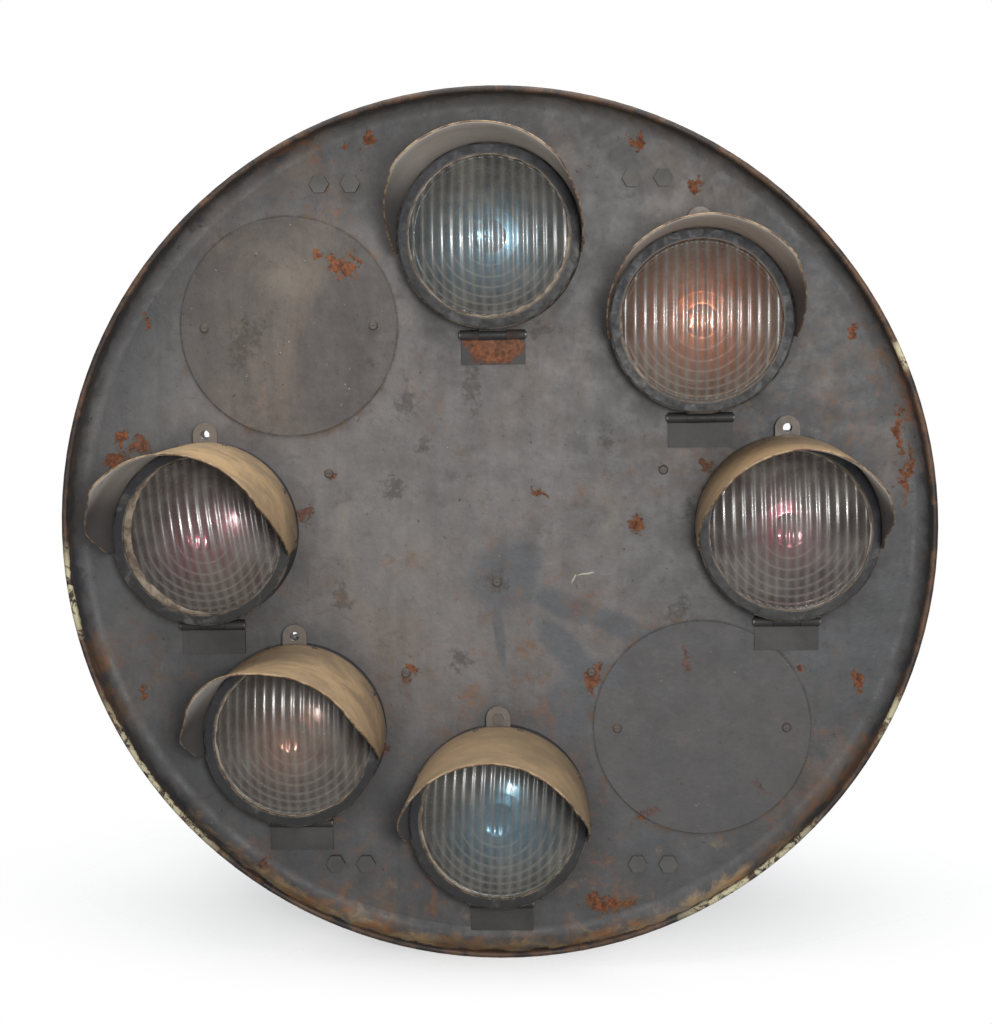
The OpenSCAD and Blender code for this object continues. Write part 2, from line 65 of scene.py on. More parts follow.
HUBS = {lamp: centre_of(f"cover_glass_{lamp}") for lamp in LAMPS}
BLANKS = [centre_of(f"blank_plate_{place}") for place in ("upper_left", "lower_right")]


def lamp_point(lamp, x, up, forward):
    """A point given by its distances right of, above and in front of a lamp's centre on the disc."""
    hub = HUBS[lamp]
    return Vector((hub.x + x, DISC_FRONT - forward, hub.z + up))


def clamp(value):
    return max(0.0, min(1.0, value))


def smooth_step(low, high, value):
    share = clamp((value - low) / (high - low))
    return share * share * (3 - 2 * share)


# ---------------------------------------------------------------- camera, lights and stage

EYE = (0.1464, -2.830, 0.2829)
AIM = (0.0, -0.300, 0.0214)
CAMERA_ROLL = math.radians(-0.914)
CAMERA_LENS = 67.7
FILL_STRENGTH = 0.30
FLOOR_Z = -0.585
FLOOR_HALF = 2.0
FLOOR_MIDDLE = 0.10
FLOOR_SQUEEZE = 1.6


def stand(name, data, place, aim, roll=0.0):
    """A camera or light at place that looks at aim, turned about its line of sight by roll."""
    holder = bpy.data.objects.new(name, data)
    holder.location = place
    sight = Vector(aim) - Vector(place)
    holder.rotation_mode = "QUATERNION"
    holder.rotation_quaternion = sight.to_track_quat("-Z", "Y") @ Quaternion((0, 0, 1), roll)
    bpy.context.scene.collection.objects.link(holder)
    return holder


def add_camera():
    camera = bpy.data.cameras.new("camera")
    camera.lens = CAMERA_LENS
    camera.sensor_width = 36.0
    bpy.context.scene.camera = stand("camera", camera, EYE, AIM, CAMERA_ROLL)


def add_light(name, place, aim, width, height, watts):
    light = bpy.data.lights.new(name, "AREA")
    light.shape = "RECTANGLE"
    light.size = width
    light.size_y = height
    light.energy = watts
    stand(name, light, place, aim).visible_camera = False


def add_lights():
    middle = (0.0, DISC_FRONT, 0.0)
    add_light("key_light", (0.42, -2.95, 0.36), middle, 0.36, 0.34, 22)
    add_light("key_spread", (0.42, -2.96, 0.42), middle, 0.32, 0.76, 9)
    add_light("key_tall", (0.42, -2.97, 0.44), middle, 0.28, 1.06, 7)
    add_light("top_light", (0.0, -1.0, 2.4), middle, 2.6, 1.2, 62)
    add_light("rear_light", (0.9, 3.0, 1.6), middle, 2.4, 1.8, 90)


def add_world():
    """White to the camera, and a softer grey as a light, so the lamps' light still models the shapes."""
    world = bpy.data.worlds.new("studio")
    world.use_nodes = True
    tree = world.node_tree
    tree.nodes.clear()
    seen = tree.nodes.new("ShaderNodeBackground")
    seen.inputs["Strength"].default_value = 1.0
    fill = tree.nodes.new("ShaderNodeBackground")
    fill.inputs["Color"].default_value = (0.93, 0.96, 1.0, 1.0)
    fill.inputs["Strength"].default_value = FILL_STRENGTH
    rays = tree.nodes.new("ShaderNodeLightPath")
    pick = tree.nodes.new("ShaderNodeMixShader")
    output = tree.nodes.new("ShaderNodeOutputWorld")
    seen.inputs["Color"].default_value = (1.0, 1.0, 1.0, 1.0)
    tree.links.new(rays.outputs["Is Camera Ray"], pick.inputs[0])
    tree.links.new(fill.outputs[0], pick.inputs[1])
    tree.links.new(seen.outputs[0], pick.inputs[2])
    tree.links.new(pick.outputs[0], output.inputs["Surface"])
    bpy.context.scene.world = world


def add_floor():
    """A pale floor that fades into the white round it, so no horizon shows."""
    mesh = bpy.data.meshes.new("floor")
    corners = [(-1, -1), (1, -1), (1, 1), (-1, 1)]
    places = [(x * FLOOR_HALF, y * FLOOR_HALF, FLOOR_Z) for x, y in corners]
    mesh.from_pydata(places, [], [(0, 1, 2, 3)])
    floor = bpy.data.objects.new("floor", mesh)
    bpy.context.scene.collection.objects.link(floor)
    surface = Surface("floor")
    surface.set("Base Color", (0.9, 0.9, 0.9, 1.0))
    surface.set("Roughness", 0.9)
    surface.set("Specular IOR Level", 0.1)
    flat = surface.vector("MULTIPLY", surface.where, (1.0, FLOOR_SQUEEZE, 0.0))
    middle = (0.0, FLOOR_MIDDLE * FLOOR_SQUEEZE, 0.0)
    reach = surface.distance(flat, middle)
    surface.set("Alpha", surface.band(reach, 0.20, 0.95, 0.9, 0.0))
    mesh.materials.append(surface.material)


# ---------------------------------------------------------------- material helpers


def srgb(red, green, blue):
    """A linear colour from display values of 0 to 255."""
    def linear(value):
        value /= 255.0
        return value / 12.92 if value <= 0.04045 else ((value + 0.055) / 1.055) ** 2.4
    return (linear(red), linear(green), linear(blue), 1.0)


class Surface:
    """One procedural material, with short calls that add its nodes and join them up."""

    def __init__(self, name):
        self.material = bpy.data.materials.new(name)
        self.material.use_nodes = True
        self.tree = self.material.node_tree
        self.tree.nodes.clear()
        output = self.tree.nodes.new("ShaderNodeOutputMaterial")
        self.shader = self.tree.nodes.new("ShaderNodeBsdfPrincipled")
        self.tree.links.new(self.shader.outputs[0], output.inputs["Surface"])
        self.where = self.tree.nodes.new("ShaderNodeTexCoord").outputs["Object"]

    def join(self, socket, value):
        """Links a socket to value, or sets it where value is a plain number or colour."""
        if isinstance(value, bpy.types.NodeSocket):
            self.tree.links.new(value, socket)
        else:
            socket.default_value = value

    def set(self, socket, value):
        self.join(self.shader.inputs[socket], value)

    def add(self, kind, inputs, **settings):
        node = self.tree.nodes.new(kind)
        for key, value in settings.items():
            setattr(node, key, value)
        for key, value in inputs.items():
            self.join(node.inputs[key], value)
        return node

    def math(self, operation, first, second=0.0):
        node = self.add("ShaderNodeMath", {0: first, 1: second}, operation=operation)
        return node.outputs[0]

    def times(self, first, second):
        return self.math("MULTIPLY", first, second)

    def plus(self, first, second):
        return self.math("ADD", first, second)

    def vector(self, operation, first, second=(0.0, 0.0, 0.0), output="Vector"):
        node = self.add("ShaderNodeVectorMath", {0: first, 1: second}, operation=operation)
        return node.outputs[output]

    def flat(self, where=None):
        """Coordinates pressed onto the disc's plane."""
        return self.vector("MULTIPLY", where or self.where, (1.0, 0.0, 1.0))

    def length(self, where):
        return self.vector("LENGTH", where, output="Value")

    def distance(self, first, second):
        return self.vector("DISTANCE", first, second, output="Value")

    def axis(self, name, where=None):
        return self.add("ShaderNodeSeparateXYZ", {0: where or self.where}).outputs[name]

    def noise(self, scale, detail=4.0, roughness=0.55, distortion=0.0, where=None):
        inputs = {"Vector": where or self.where, "Scale": scale, "Detail": detail}
        inputs.update({"Roughness": roughness, "Distortion": distortion})
        return self.add("ShaderNodeTexNoise", inputs).outputs[0]

    def band(self, value, low, high, start=0.0, end=1.0):
        """A smooth change from start to end as value goes from low to high."""
        inputs = {"Value": value, "From Min": low, "From Max": high, "To Min": start, "To Max": end}
        return self.add("ShaderNodeMapRange", inputs, interpolation_type="SMOOTHSTEP").outputs[0]

    def blend(self, factor, first, second, mode="MIX"):
        node = self.add("ShaderNodeMix", {0: factor, 6: first, 7: second}, data_type="RGBA")
        node.blend_type = mode
        return node.outputs[2]

    def shade(self, colour, amount, low, high):
        """Multiplies a colour by a grey that runs from low to high with amount."""
        grey = self.band(amount, 0.0, 1.0, low, high)
        joined = self.add("ShaderNodeCombineColor", {0: grey, 1: grey, 2: grey})
        return self.blend(1.0, colour, joined.outputs[0], "MULTIPLY")

    def attribute(self, name):
        return self.add("ShaderNodeAttribute", {}, attribute_name=name).outputs["Fac"]

    def wobble(self, amount, scale, where=None):
        """Coordinates shifted by noise, which breaks up the outline of what is drawn on them."""
        inputs = {"Vector": where or self.where, "Scale": scale, "Detail": 3.0, "Roughness": 0.7}
        colour = self.add("ShaderNodeTexNoise", inputs).outputs[1]
        centred = self.vector("SUBTRACT", colour, (0.5, 0.5, 0.5))
        shift = self.vector("MULTIPLY", centred, (amount, amount, amount))
        return self.vector("ADD", where or self.where, shift)

    def spot(self, where, x, z, wide, tall, turn=0.0):
        """1 at the point x, z of the disc's plane, falling to 0 at an ellipse round it."""
        depth = 10.0
        inputs = {"Vector": where, "Location": (x, DISC_FRONT, z)}
        inputs.update({"Rotation": (0.0, math.radians(turn), 0.0), "Scale": (wide, depth, tall)})
        mapped = self.add("ShaderNodeMapping", inputs, vector_type="TEXTURE").outputs[0]
        gradient = self.add("ShaderNodeTexGradient", {"Vector": mapped}, gradient_type="SPHERICAL")
        return gradient.outputs[1]

    def spots(self, where, places):
        """The highest of several spots."""
        total = None
        for place in places:
            one = self.spot(where, *[value * MM for value in place[:4]], *place[4:])
            total = one if total is None else self.math("MAXIMUM", total, one)
        return total

    def in_front(self):
        """How far forward of the disc's face a point is, in metres."""
        return self.math("SUBTRACT", DISC_FRONT, self.axis("Y"))

    def from_lamp(self, lamp):
        """Coordinates measured from a lamp's centre on the disc."""
        hub = HUBS[lamp]
        return self.vector("SUBTRACT", self.where, (hub.x, DISC_FRONT, hub.z))

    def stretched(self, x, y, z):
        return self.vector("MULTIPLY", self.where, (x, y, z))

    def bump(self, height, strength, distance, normal=None):
        inputs = {"Height": height, "Strength": strength, "Distance": distance}
        if normal is not None:
            inputs["Normal"] = normal
        return self.add("ShaderNodeBump", inputs).outputs[0]


# ---------------------------------------------------------------- paint and rust on the disc

# The face is coloured palest round this point, and greyer away from it.
PALE_MIDDLE = (-0.07, 0.0, 0.09)

# Rust on the face: x, z, half width, half height in millimetres, then a turn in degrees.
RUST_MARKS = (
    (-158, 512, 17, 13), (-190, 507, 8, 7), (186, 505, 22, 8, 10), (268, 446, 11, 16),
    (-200, 344, 20, 17, 35), (-232, 366, 14, 8, 40), (-214, 356, 12, 6, 40), (-182, 360, 7, 9),
    (-507, 96, 20, 20), (-474, 113, 17, 18), (-497, 128, 10, 14), (-458, 276, 9, 14),
    (-220, 72, 8, 8), (-253, 20, 9, 17), (60, 47, 14, 7, 30), (188, 4, 12, 17),
    (218, 77, 9, 9), (-121, -197, 13, 12), (126, -196, 11, 26, 15), (140, -512, 46, 15, -8),
    (172, -508, 16, 12), (-474, -214, 8, 17), (472, -208, 9, 19), (526, 120, 9, 46, 4),
    (536, 60, 7, 50, 4), (276, 80, 12, 12), (298, 44, 8, 10), (196, -388, 20, 9, -20),
    (-330, -470, 26, 12, -40), (-300, -380, 12, 7), (404, -196, 7, 9), (-52, 300, 16, 8),
    (-230, -290, 8, 20), (60, -420, 26, 8), (352, -352, 18, 8, 35), (470, 250, 8, 22, 30),
    (248, -176, 9, 15, -20), (-156, -300, 7, 9),
)
# Stains, oily smears, bare scratches and pale washed streaks: the same five values.
DARK_STAINS = (
    (0, -72, 20, 22), (-49, -174, 24, 17, 20), (-60, -186, 14, 10), (-136, 54, 24, 20),
    (-118, 170, 16, 30), (-92, 110, 12, 20), (150, 110, 10, 22), (240, -108, 16, 34, 30),
    (-160, 220, 18, 12), (300, 330, 12, 9), (-330, 250, 30, 60, 30), (330, 170, 30, 16),
    (-30, 190, 20, 40), (250, 20, 12, 20), (-210, -90, 16, 26), (60, 260, 40, 14),
)
BLUE_SMEARS = (
    (10, -68, 62, 56), (92, -104, 62, 24, 22), (160, -132, 74, 22, 22), (2, -140, 9, 60, -8),
    (86, -160, 24, 66, -42), (130, -196, 60, 26, 0), (34, -44, 34, 36), (96, -240, 50, 50),
)
SCRATCHES = ((118, -62, 14, 1.4, -10), (102, -68, 1.5, 8, 30))
PALE_STREAKS = ((-206, 14, 14, 74), (-196, -40, 9, 60), (-268, 330, 60, 40), (150, 16, 20, 60))


def paint_colour(surface, face, edge):
    """Mottled, rusted and stained grey paint on the front of the disc, and how rusty it is."""
    radius = surface.distance(surface.flat(), PALE_MIDDLE)
    cloud = surface.noise(3.2, 3.0, 0.6)
    reach = surface.plus(radius, surface.band(cloud, 0.25, 0.75, -0.10, 0.10))
    colour = surface.blend(surface.band(reach, 0.18, 0.52), face, edge)
    mottle = surface.noise(9.0, 5.0, 0.68, 0.6)
    colour = surface.shade(colour, mottle, 0.66, 1.34)
    clay = surface.noise(5.5, 5.0, 0.7, 0.8, surface.stretched(1.0, 1.0, 0.7))
    colour = surface.blend(surface.band(clay, 0.50, 0.68, 0.0, 0.5), colour, srgb(124, 110, 98))
    fine = surface.noise(46.0, 4.0, 0.72)
    colour = surface.shade(colour, fine, 0.84, 1.16)
    run = surface.noise(1.0, 3.0, 0.6, 0.4, surface.stretched(30.0, 1.0, 4.0))
    colour = surface.shade(colour, surface.band(run, 0.38, 0.72), 1.0, 0.88)
    brown = surface.band(surface.noise(15.0, 5.0, 0.72, 1.2), 0.57, 0.72, 0.0, 0.5)
    colour = surface.blend(brown, colour, srgb(78, 70, 62))
    ragged = surface.wobble(0.05, 26.0)
    blue = surface.band(surface.spots(surface.wobble(0.02, 10.0), BLUE_SMEARS), 0.0, 0.5, 0.0, 0.8)
    colour = surface.blend(blue, colour, srgb(84, 87, 91))
    pale = surface.band(surface.spots(ragged, PALE_STREAKS), 0.0, 0.9, 0.0, 0.35)
    colour = surface.blend(pale, colour, srgb(140, 132, 116))
    grain = surface.noise(120.0, 4.0, 0.8)
    broken = surface.band(grain, 0.3, 0.7, -0.42, 0.42)
    stains = surface.plus(surface.spots(ragged, DARK_STAINS), broken)
    dark = surface.band(stains, 0.15, 0.85, 0.0, 0.62)
    colour = surface.blend(dark, colour, srgb(66, 59, 52))
    pitted = surface.wobble(0.022, 70.0, ragged)
    marks = surface.spots(pitted, RUST_MARKS)
    mask = surface.plus(marks, broken)
    halo = surface.band(marks, 0.0, 0.35, 0.0, 0.5)
    colour = surface.blend(halo, colour, srgb(94, 82, 66))
    near = surface.band(marks, 0.0, 0.05)
    outline = surface.times(surface.band(mask, 0.20, 0.30, 0.0, 0.6), near)
    colour = surface.blend(outline, colour, srgb(62, 54, 46))
    rust = surface.times(surface.band(mask, 0.31, 0.38), near)
    tone = surface.noise(150.0, 3.0, 0.75)
    rusty = surface.blend(surface.band(tone, 0.36, 0.66), srgb(84, 56, 42), srgb(148, 88, 56))
    colour = surface.blend(rust, colour, rusty)
    chip = surface.band(surface.noise(170.0, 3.0, 0.6), 0.715, 0.75, 0.0, 0.85)
    colour = surface.blend(chip, colour, srgb(168, 165, 156))
    nick = surface.band(surface.noise(120.0, 4.0, 0.66, 0.4), 0.665, 0.71, 0.0, 0.8)
    colour = surface.blend(nick, colour, srgb(46, 42, 38))
    scratch = surface.spots(surface.wobble(0.004, 60.0), SCRATCHES)
    colour = surface.blend(surface.band(scratch, 0.05, 0.3), colour, srgb(186, 182, 160))
    return colour, rust


def weather(surface, rust, low, high):
    """Uneven roughness between low and high, and rougher where there is rust."""
    rough = surface.band(surface.noise(30.0, 3.0, 0.7), 0.3, 0.7, low, high)
    rusty = surface.band(rust, 0.0, 1.0, 0.0, 0.9)
    surface.set("Roughness", surface.math("MAXIMUM", rough, rusty))


def distance_to(surface, centres):
    """The distance from the nearest of some points, in the plane of the disc."""
    flat = surface.flat()
    nearest = None
    for centre in centres:
        gap = surface.distance(flat, (centre.x, 0.0, centre.z))
        nearest = gap if nearest is None else surface.math("MINIMUM", nearest, gap)
    return nearest


# Distances in metres over which colours change: from the middle of a lamp, from the middle of a
# blank plate twice, and forward of the disc's face at its back, inner wall, lip and the lip's edge.
LAMP_DIRT_AND_SHADE = (0.118, 0.165)
SEAM_LINE = (0.1435, 0.1475)
SEAM_CRUST = (0.144, 0.160)
BACK_FACE = (-0.0022, -0.0012)
RIM_WALL = (0.002, 0.018)
RIM_LIP = (0.030, 0.037)
RIM_EDGE = (0.038, 0.043)


def disc_paint():
    """The disc's paint: grime and painted shade round the doors, a line of grime and painted shade
    round the blanks with a crust beside it, its rim with painted shade and light, and its back.
    """
    surface = Surface("disc_paint")
    colour, rust = paint_colour(surface, srgb(116, 112, 110), srgb(90, 90, 91))
    # A darker ring round each door: grime, and painted shade where the hood and door stand on the disc.
    uneven = surface.band(surface.noise(20.0, 5.0), 0.2, 0.8, -0.02, 0.02)
    gap = surface.plus(distance_to(surface, HUBS.values()), uneven)
    colour = surface.blend(surface.band(gap, *LAMP_DIRT_AND_SHADE, 0.45, 0.0), colour, srgb(62, 60, 60))
    seam = distance_to(surface, BLANKS)
    patchy = surface.band(surface.noise(28.0, 7.0, 0.7, 0.5), 0.35, 0.62, 0.25, 1.0)
    # A dark line round each blank: grime in the joint, and painted shade along the plate's raised edge.
    line = surface.times(surface.band(seam, *SEAM_LINE, 0.9, 0.0), patchy)
    colour = surface.blend(line, colour, srgb(44, 40, 37))
    beside = surface.band(seam, *SEAM_CRUST, 0.7, 0.0)
    crust = surface.times(beside, surface.band(patchy, 0.7, 1.0))
    colour = surface.blend(crust, colour, srgb(96, 78, 60))
    colour = rim_colour(surface, colour)
    behind = surface.band(surface.in_front(), *BACK_FACE, 1.0, 0.0)
    back = surface.shade(srgb(86, 87, 88), surface.noise(14.0, 4.0, 0.72, 0.8), 0.6, 1.4)
    back_rust = surface.band(surface.noise(9.0, 6.0, 0.75, 1.0), 0.60, 0.70, 0.0, 0.8)
    back = surface.blend(back_rust, back, srgb(92, 60, 42))
    colour = surface.blend(behind, colour, back)
    surface.set("Base Color", colour)
    weather(surface, rust, 0.46, 0.66)
    wave = surface.bump(surface.noise(5.0, 2.0, 0.5), 0.35, 0.010)
    surface.set("Normal", surface.bump(surface.noise(130.0, 4.0, 0.75), 0.4, 0.0016, wave))
    return surface.material


# Places round the rim as degrees from the right, anticlockwise, and half a spread: cream primer
# showing through on its lip, then rust.
LIP_CHIPS = ((216, 16), (306, 14), (334, 4), (188, 8), (23, 2.5))
RIM_RUST = ((252, 26), (283, 12), (20, 14), (320, 18), (118, 8), (200, 8))


def round_from(surface, places):
    """1 near each direction from the disc's centre, given as degrees and half a spread."""
    ray = surface.vector("NORMALIZE", surface.flat())
    total = None
    for turn, spread in places:
        aim = (math.cos(math.radians(turn)), 0.0, math.sin(math.radians(turn)))
        along = surface.vector("DOT_PRODUCT", ray, aim, output="Value")
        one = surface.band(along, math.cos(math.radians(spread)), 1.0)
        total = one if total is None else surface.math("MAXIMUM", total, one)
    return total


def rim_colour(surface, colour):
    """The disc's rim: its wall dark with painted shade, brown grime along the bottom that is also
    painted light, and a worn, rusty lip.
    """
    forward = surface.in_front()
    ragged = surface.band(surface.noise(34.0, 6.0, 0.7, 0.5), 0.25, 0.75, -0.009, 0.009)
    height = surface.plus(forward, ragged)
    patches = surface.noise(22.0, 6.0, 0.7, 0.8)
    # The wall's dark colour is painted shade, as dark as the wall's shaded top.
    wall = surface.blend(surface.band(patches, 0.42, 0.66), srgb(62, 63, 66), srgb(84, 76, 68))
    streaks = surface.noise(13.0, 6.0, 0.72, 0.8, surface.stretched(1.0, 1.0, 2.2))
    # Brown grime for the bottom of the wall, its pale tones partly painted light where the wall faces
    # up.
    dirt_and_painted_light = surface.blend(surface.band(streaks, 0.36, 0.60), srgb(118, 116, 111), srgb(176, 149, 112))
    dirt_and_painted_light = surface.blend(surface.band(patches, 0.54, 0.62, 0.0, 0.8), dirt_and_painted_light, srgb(206, 140, 84))
    level = surface.plus(surface.axis("Z"), surface.band(streaks, 0.3, 0.7, 0.05, -0.05))
    low = surface.band(level, -0.36, -0.50)
    wall = surface.blend(low, wall, dirt_and_painted_light)
    colour = surface.blend(surface.band(height, *RIM_WALL), colour, wall)
    rust = surface.times(round_from(surface, RIM_RUST), surface.band(patches, 0.40, 0.60))
    reach = surface.times(rust, surface.band(height, -0.004, 0.010))
    grain = surface.band(surface.noise(90.0, 5.0), 0.35, 0.65)
    brown = surface.blend(grain, srgb(108, 88, 64), srgb(140, 88, 50))
    colour = surface.blend(surface.times(reach, 0.6), colour, brown)
    lip = surface.band(height, *RIM_LIP)
    worn = surface.blend(surface.band(patches, 0.42, 0.62), srgb(50, 43, 40), srgb(100, 74, 54))
    colour = surface.blend(lip, colour, worn)
    flake = surface.noise(48.0, 6.0, 0.75, 0.6)
    bare = surface.times(round_from(surface, LIP_CHIPS), surface.band(flake, 0.44, 0.52))
    bare = surface.times(bare, surface.band(height, *RIM_EDGE))
    return surface.blend(bare, colour, srgb(206, 196, 160))


def blank_paint():
    """The blank plates' paint: as the disc's, but darker, and cooler on the right-hand plate."""
    surface = Surface("blank_paint")
    colour, rust = paint_colour(surface, srgb(94, 88, 84), srgb(94, 88, 84))
    cool = surface.band(surface.axis("X"), -0.1, 0.1)
    colour = surface.blend(cool, colour, surface.blend(0.55, colour, srgb(90, 91, 93)))
    surface.set("Base Color", colour)
    weather(surface, rust, 0.5, 0.68)
    surface.set("Normal", surface.bump(surface.noise(130.0, 4.0, 0.75), 0.4, 0.0016))
    return surface.material


RUST_TONE = (120, 66, 38)


def old_paint(name, colour, rust_share=0.5, rough=0.6, rust_marks=None, rust_tone=RUST_TONE,
              dark_from=None):
    """Old paint over steel, rusting by noise and at any marks, and dark in front of dark_from."""
    surface = Surface(name)
    tone = surface.shade(srgb(*colour), surface.noise(18.0, 8.0, 0.7, 0.6), 0.62, 1.38)
    tone = surface.shade(tone, surface.noise(95.0, 5.0, 0.7), 0.82, 1.18)
    limit = 0.78 - 0.2 * rust_share
    spread = surface.noise(28.0, 8.0, 0.72, 0.9)
    rust = surface.band(spread, limit, limit + 0.08, 0.0, 0.9)
    if rust_marks:
        marks = surface.spots(surface.wobble(0.02, 60.0), rust_marks)
        marks = surface.plus(marks, surface.band(spread, 0.2, 0.8, -0.25, 0.25))
        rust = surface.math("MAXIMUM", rust, surface.band(marks, 0.12, 0.4))
    grain = surface.band(surface.noise(150.0, 5.0, 0.7), 0.35, 0.65)
    dark = tuple(0.62 * channel for channel in rust_tone)
    tone = surface.blend(rust, tone, surface.blend(grain, srgb(*dark), srgb(*rust_tone)))
    dust = surface.band(surface.noise(6.0, 6.0, 0.6), 0.45, 0.75, 0.0, 0.25)
    tone = surface.blend(dust, tone, srgb(128, 122, 112))
    if dark_from is not None:
        proud = surface.band(surface.in_front(), dark_from, dark_from + 0.0015, 0.0, 0.85)
        tone = surface.blend(proud, tone, srgb(56, 54, 53))
    surface.set("Base Color", tone)
    surface.set("Roughness", surface.band(rust, 0.0, 1.0, rough, 0.88))
    coat = surface.bump(surface.noise(160.0, 6.0, 0.7), 0.3, 0.0008)
    surface.set("Normal", surface.bump(rust, 0.5, 0.0008, coat))
    return surface.material


def bare_metal(name, colour, rough, rust_share):
    """Plated or bare metal, dulled and spotted with rust."""
    surface = Surface(name)
    tone = surface.shade(srgb(*colour), surface.noise(60.0, 6.0, 0.65), 0.7, 1.3)
    limit = 0.78 - 0.25 * rust_share
    rust = surface.band(surface.noise(70.0, 7.0, 0.7), limit, limit + 0.1)
    tone = surface.blend(rust, tone, srgb(112, 66, 40))
    surface.set("Base Color", tone)
    surface.set("Metallic", surface.band(rust, 0.0, 1.0, 0.85, 0.0))
    surface.set("Roughness", surface.band(surface.noise(80.0, 5.0), 0.3, 0.7, rough, rough + 0.25))
    surface.set("Normal", surface.bump(surface.noise(220.0, 4.0), 0.25, 0.0004))
    return surface.material


def moulded(name, colour, rough, grain=240.0):
    """Rubber, cable sheath or moulded phenolic."""
    surface = Surface(name)
    tone = surface.shade(srgb(*colour), surface.noise(40.0, 6.0, 0.65), 0.7, 1.35)
    dust = surface.band(surface.noise(12.0, 6.0, 0.6), 0.5, 0.75, 0.0, 0.3)
    surface.set("Base Color", surface.blend(dust, tone, srgb(120, 114, 104)))
    surface.set("Roughness", surface.band(surface.noise(50.0, 4.0), 0.3, 0.7, rough, rough + 0.2))
    surface.set("Normal", surface.bump(surface.noise(grain, 4.0), 0.2, 0.0004))
    return surface.material


def clear_glass():
    """The bulbs' glass, a little hazy."""
    surface = Surface("bulb_glass")
    surface.set("Base Color", (0.95, 0.96, 0.97, 1.0))
    haze = surface.noise(30.0, 5.0, 0.6)
    surface.set("Roughness", surface.band(haze, 0.3, 0.7, 0.04, 0.16))
    surface.set("Alpha", surface.band(haze, 0.3, 0.7, 0.20, 0.38))
    surface.set("Specular IOR Level", 0.9)
    return surface.material


# Distances in metres from a lamp's centre over which a door's colours change: the ring's two round
# edges, its front face, the ear above and the knuckle below.
RING_OUTER = (0.1155, 0.1178)
RING_INNER = (0.1062, 0.1040)
RING_FRONT = (-0.058, -0.061)
EAR = (0.1175, 0.1195)
KNUCKLE = (-0.1175, -0.119)


def door_paint(lamp):
    """Near-black paint on a lens door, dusty below and worn to grey along its round edges."""
    surface = Surface(f"door_paint_{lamp}")
    local = surface.from_lamp(lamp)
    radius = surface.length(surface.flat(local))
    up = surface.axis("Z", local)
    tone = surface.blend(surface.band(up, -0.09, 0.03), srgb(47, 46, 45), srgb(48, 49, 53))
    tone = surface.shade(tone, surface.noise(20.0, 7.0, 0.72, 0.9), 0.45, 1.6)
    patches = surface.noise(17.0, 6.0, 0.7, 0.6, surface.wobble(0.02, 9.0))
    grey = surface.band(patches, 0.55, 0.68, 0.0, 0.6)
    tone = surface.blend(grey, tone, srgb(112, 108, 102))
    tone = surface.blend(surface.band(up, *EAR), tone, srgb(112, 103, 94))
    tone = surface.blend(surface.band(up, *KNUCKLE), tone, srgb(54, 52, 52))
    tone = surface.shade(tone, surface.noise(110.0, 5.0, 0.7), 0.8, 1.2)
    scuff = surface.noise(60.0, 7.0, 0.75, 0.5)
    outer, inner = surface.band(radius, *RING_OUTER), surface.band(radius, *RING_INNER)
    edge = surface.math("MAXIMUM", outer, inner)
    front = surface.band(surface.axis("Y", local), *RING_FRONT)
    exposed = surface.times(edge, front)
    worn = surface.times(exposed, surface.band(scuff, 0.42, 0.58, 0.05, 0.75))
    tone = surface.blend(worn, tone, srgb(142, 128, 112))
    rust = surface.band(surface.noise(33.0, 8.0, 0.72, 0.8), 0.63, 0.70, 0.0, 0.75)
    tone = surface.blend(rust, tone, srgb(98, 68, 50))
    surface.set("Base Color", tone)
    surface.set("Roughness", surface.band(scuff, 0.3, 0.7, 0.42, 0.7))
    coat = surface.bump(surface.noise(180.0, 6.0, 0.7), 0.3, 0.0006)
    surface.set("Normal", surface.bump(surface.noise(30.0, 5.0), 0.25, 0.002, coat))
    return surface.material


TAN = (170, 143, 109)


def hood_outside(lamp, look):
    """Sun-faded tan paint: patches of darker khaki, painted shade towards the disc and down the sides,
    dark specks, and a mouth edge rubbed pale that also carries a painted highlight.
    """
    surface = Surface(f"hood_paint_{lamp}")
    cloud = surface.noise(11.0, 7.0, 0.65, 0.6)
    tan = srgb(*look.get("tan", TAN))
    tone = surface.blend(surface.band(cloud, 0.35, 0.68), tan, srgb(142, 122, 96))
    tone = surface.shade(tone, surface.noise(60.0, 6.0, 0.7), 0.82, 1.18)
    # Painted shade: darker towards the disc and down the hood's sides.
    back = surface.attribute("rear")
    tone = surface.blend(surface.times(back, 0.4), tone, srgb(98, 88, 78))
    side = surface.attribute("side")
    tone = surface.blend(surface.times(side, 0.12), tone, srgb(94, 86, 78))
    spread = surface.noise(30.0, 8.0, 0.72, 0.9)
    marked = surface.band(surface.attribute("rust"), 0.0, 1.0, 0.0, 0.36)
    rust = surface.band(surface.plus(spread, marked), 0.64, 0.74, 0.0, 0.85)
    tone = surface.blend(rust, tone, srgb(160, 102, 70))
    speck = surface.band(surface.noise(170.0, 4.0, 0.65), 0.655, 0.70, 0.0, 0.85)
    tone = surface.blend(speck, tone, srgb(58, 48, 38))
    # The mouth's edge is rubbed pale, and the pale edge also stands in as a painted highlight.
    patchy = surface.band(spread, 0.36, 0.56, 0.25, 1.0)
    rubbed = surface.times(surface.attribute("edge"), patchy)
    tone = surface.blend(rubbed, tone, srgb(182, 158, 122))
    surface.set("Base Color", tone)
    surface.set("Roughness", surface.band(cloud, 0.3, 0.7, 0.52, 0.72))
    coat = surface.bump(surface.noise(150.0, 6.0, 0.7), 0.3, 0.0007)
    surface.set("Normal", surface.bump(surface.noise(16.0, 4.0), 0.3, 0.004, coat))
    return surface.material


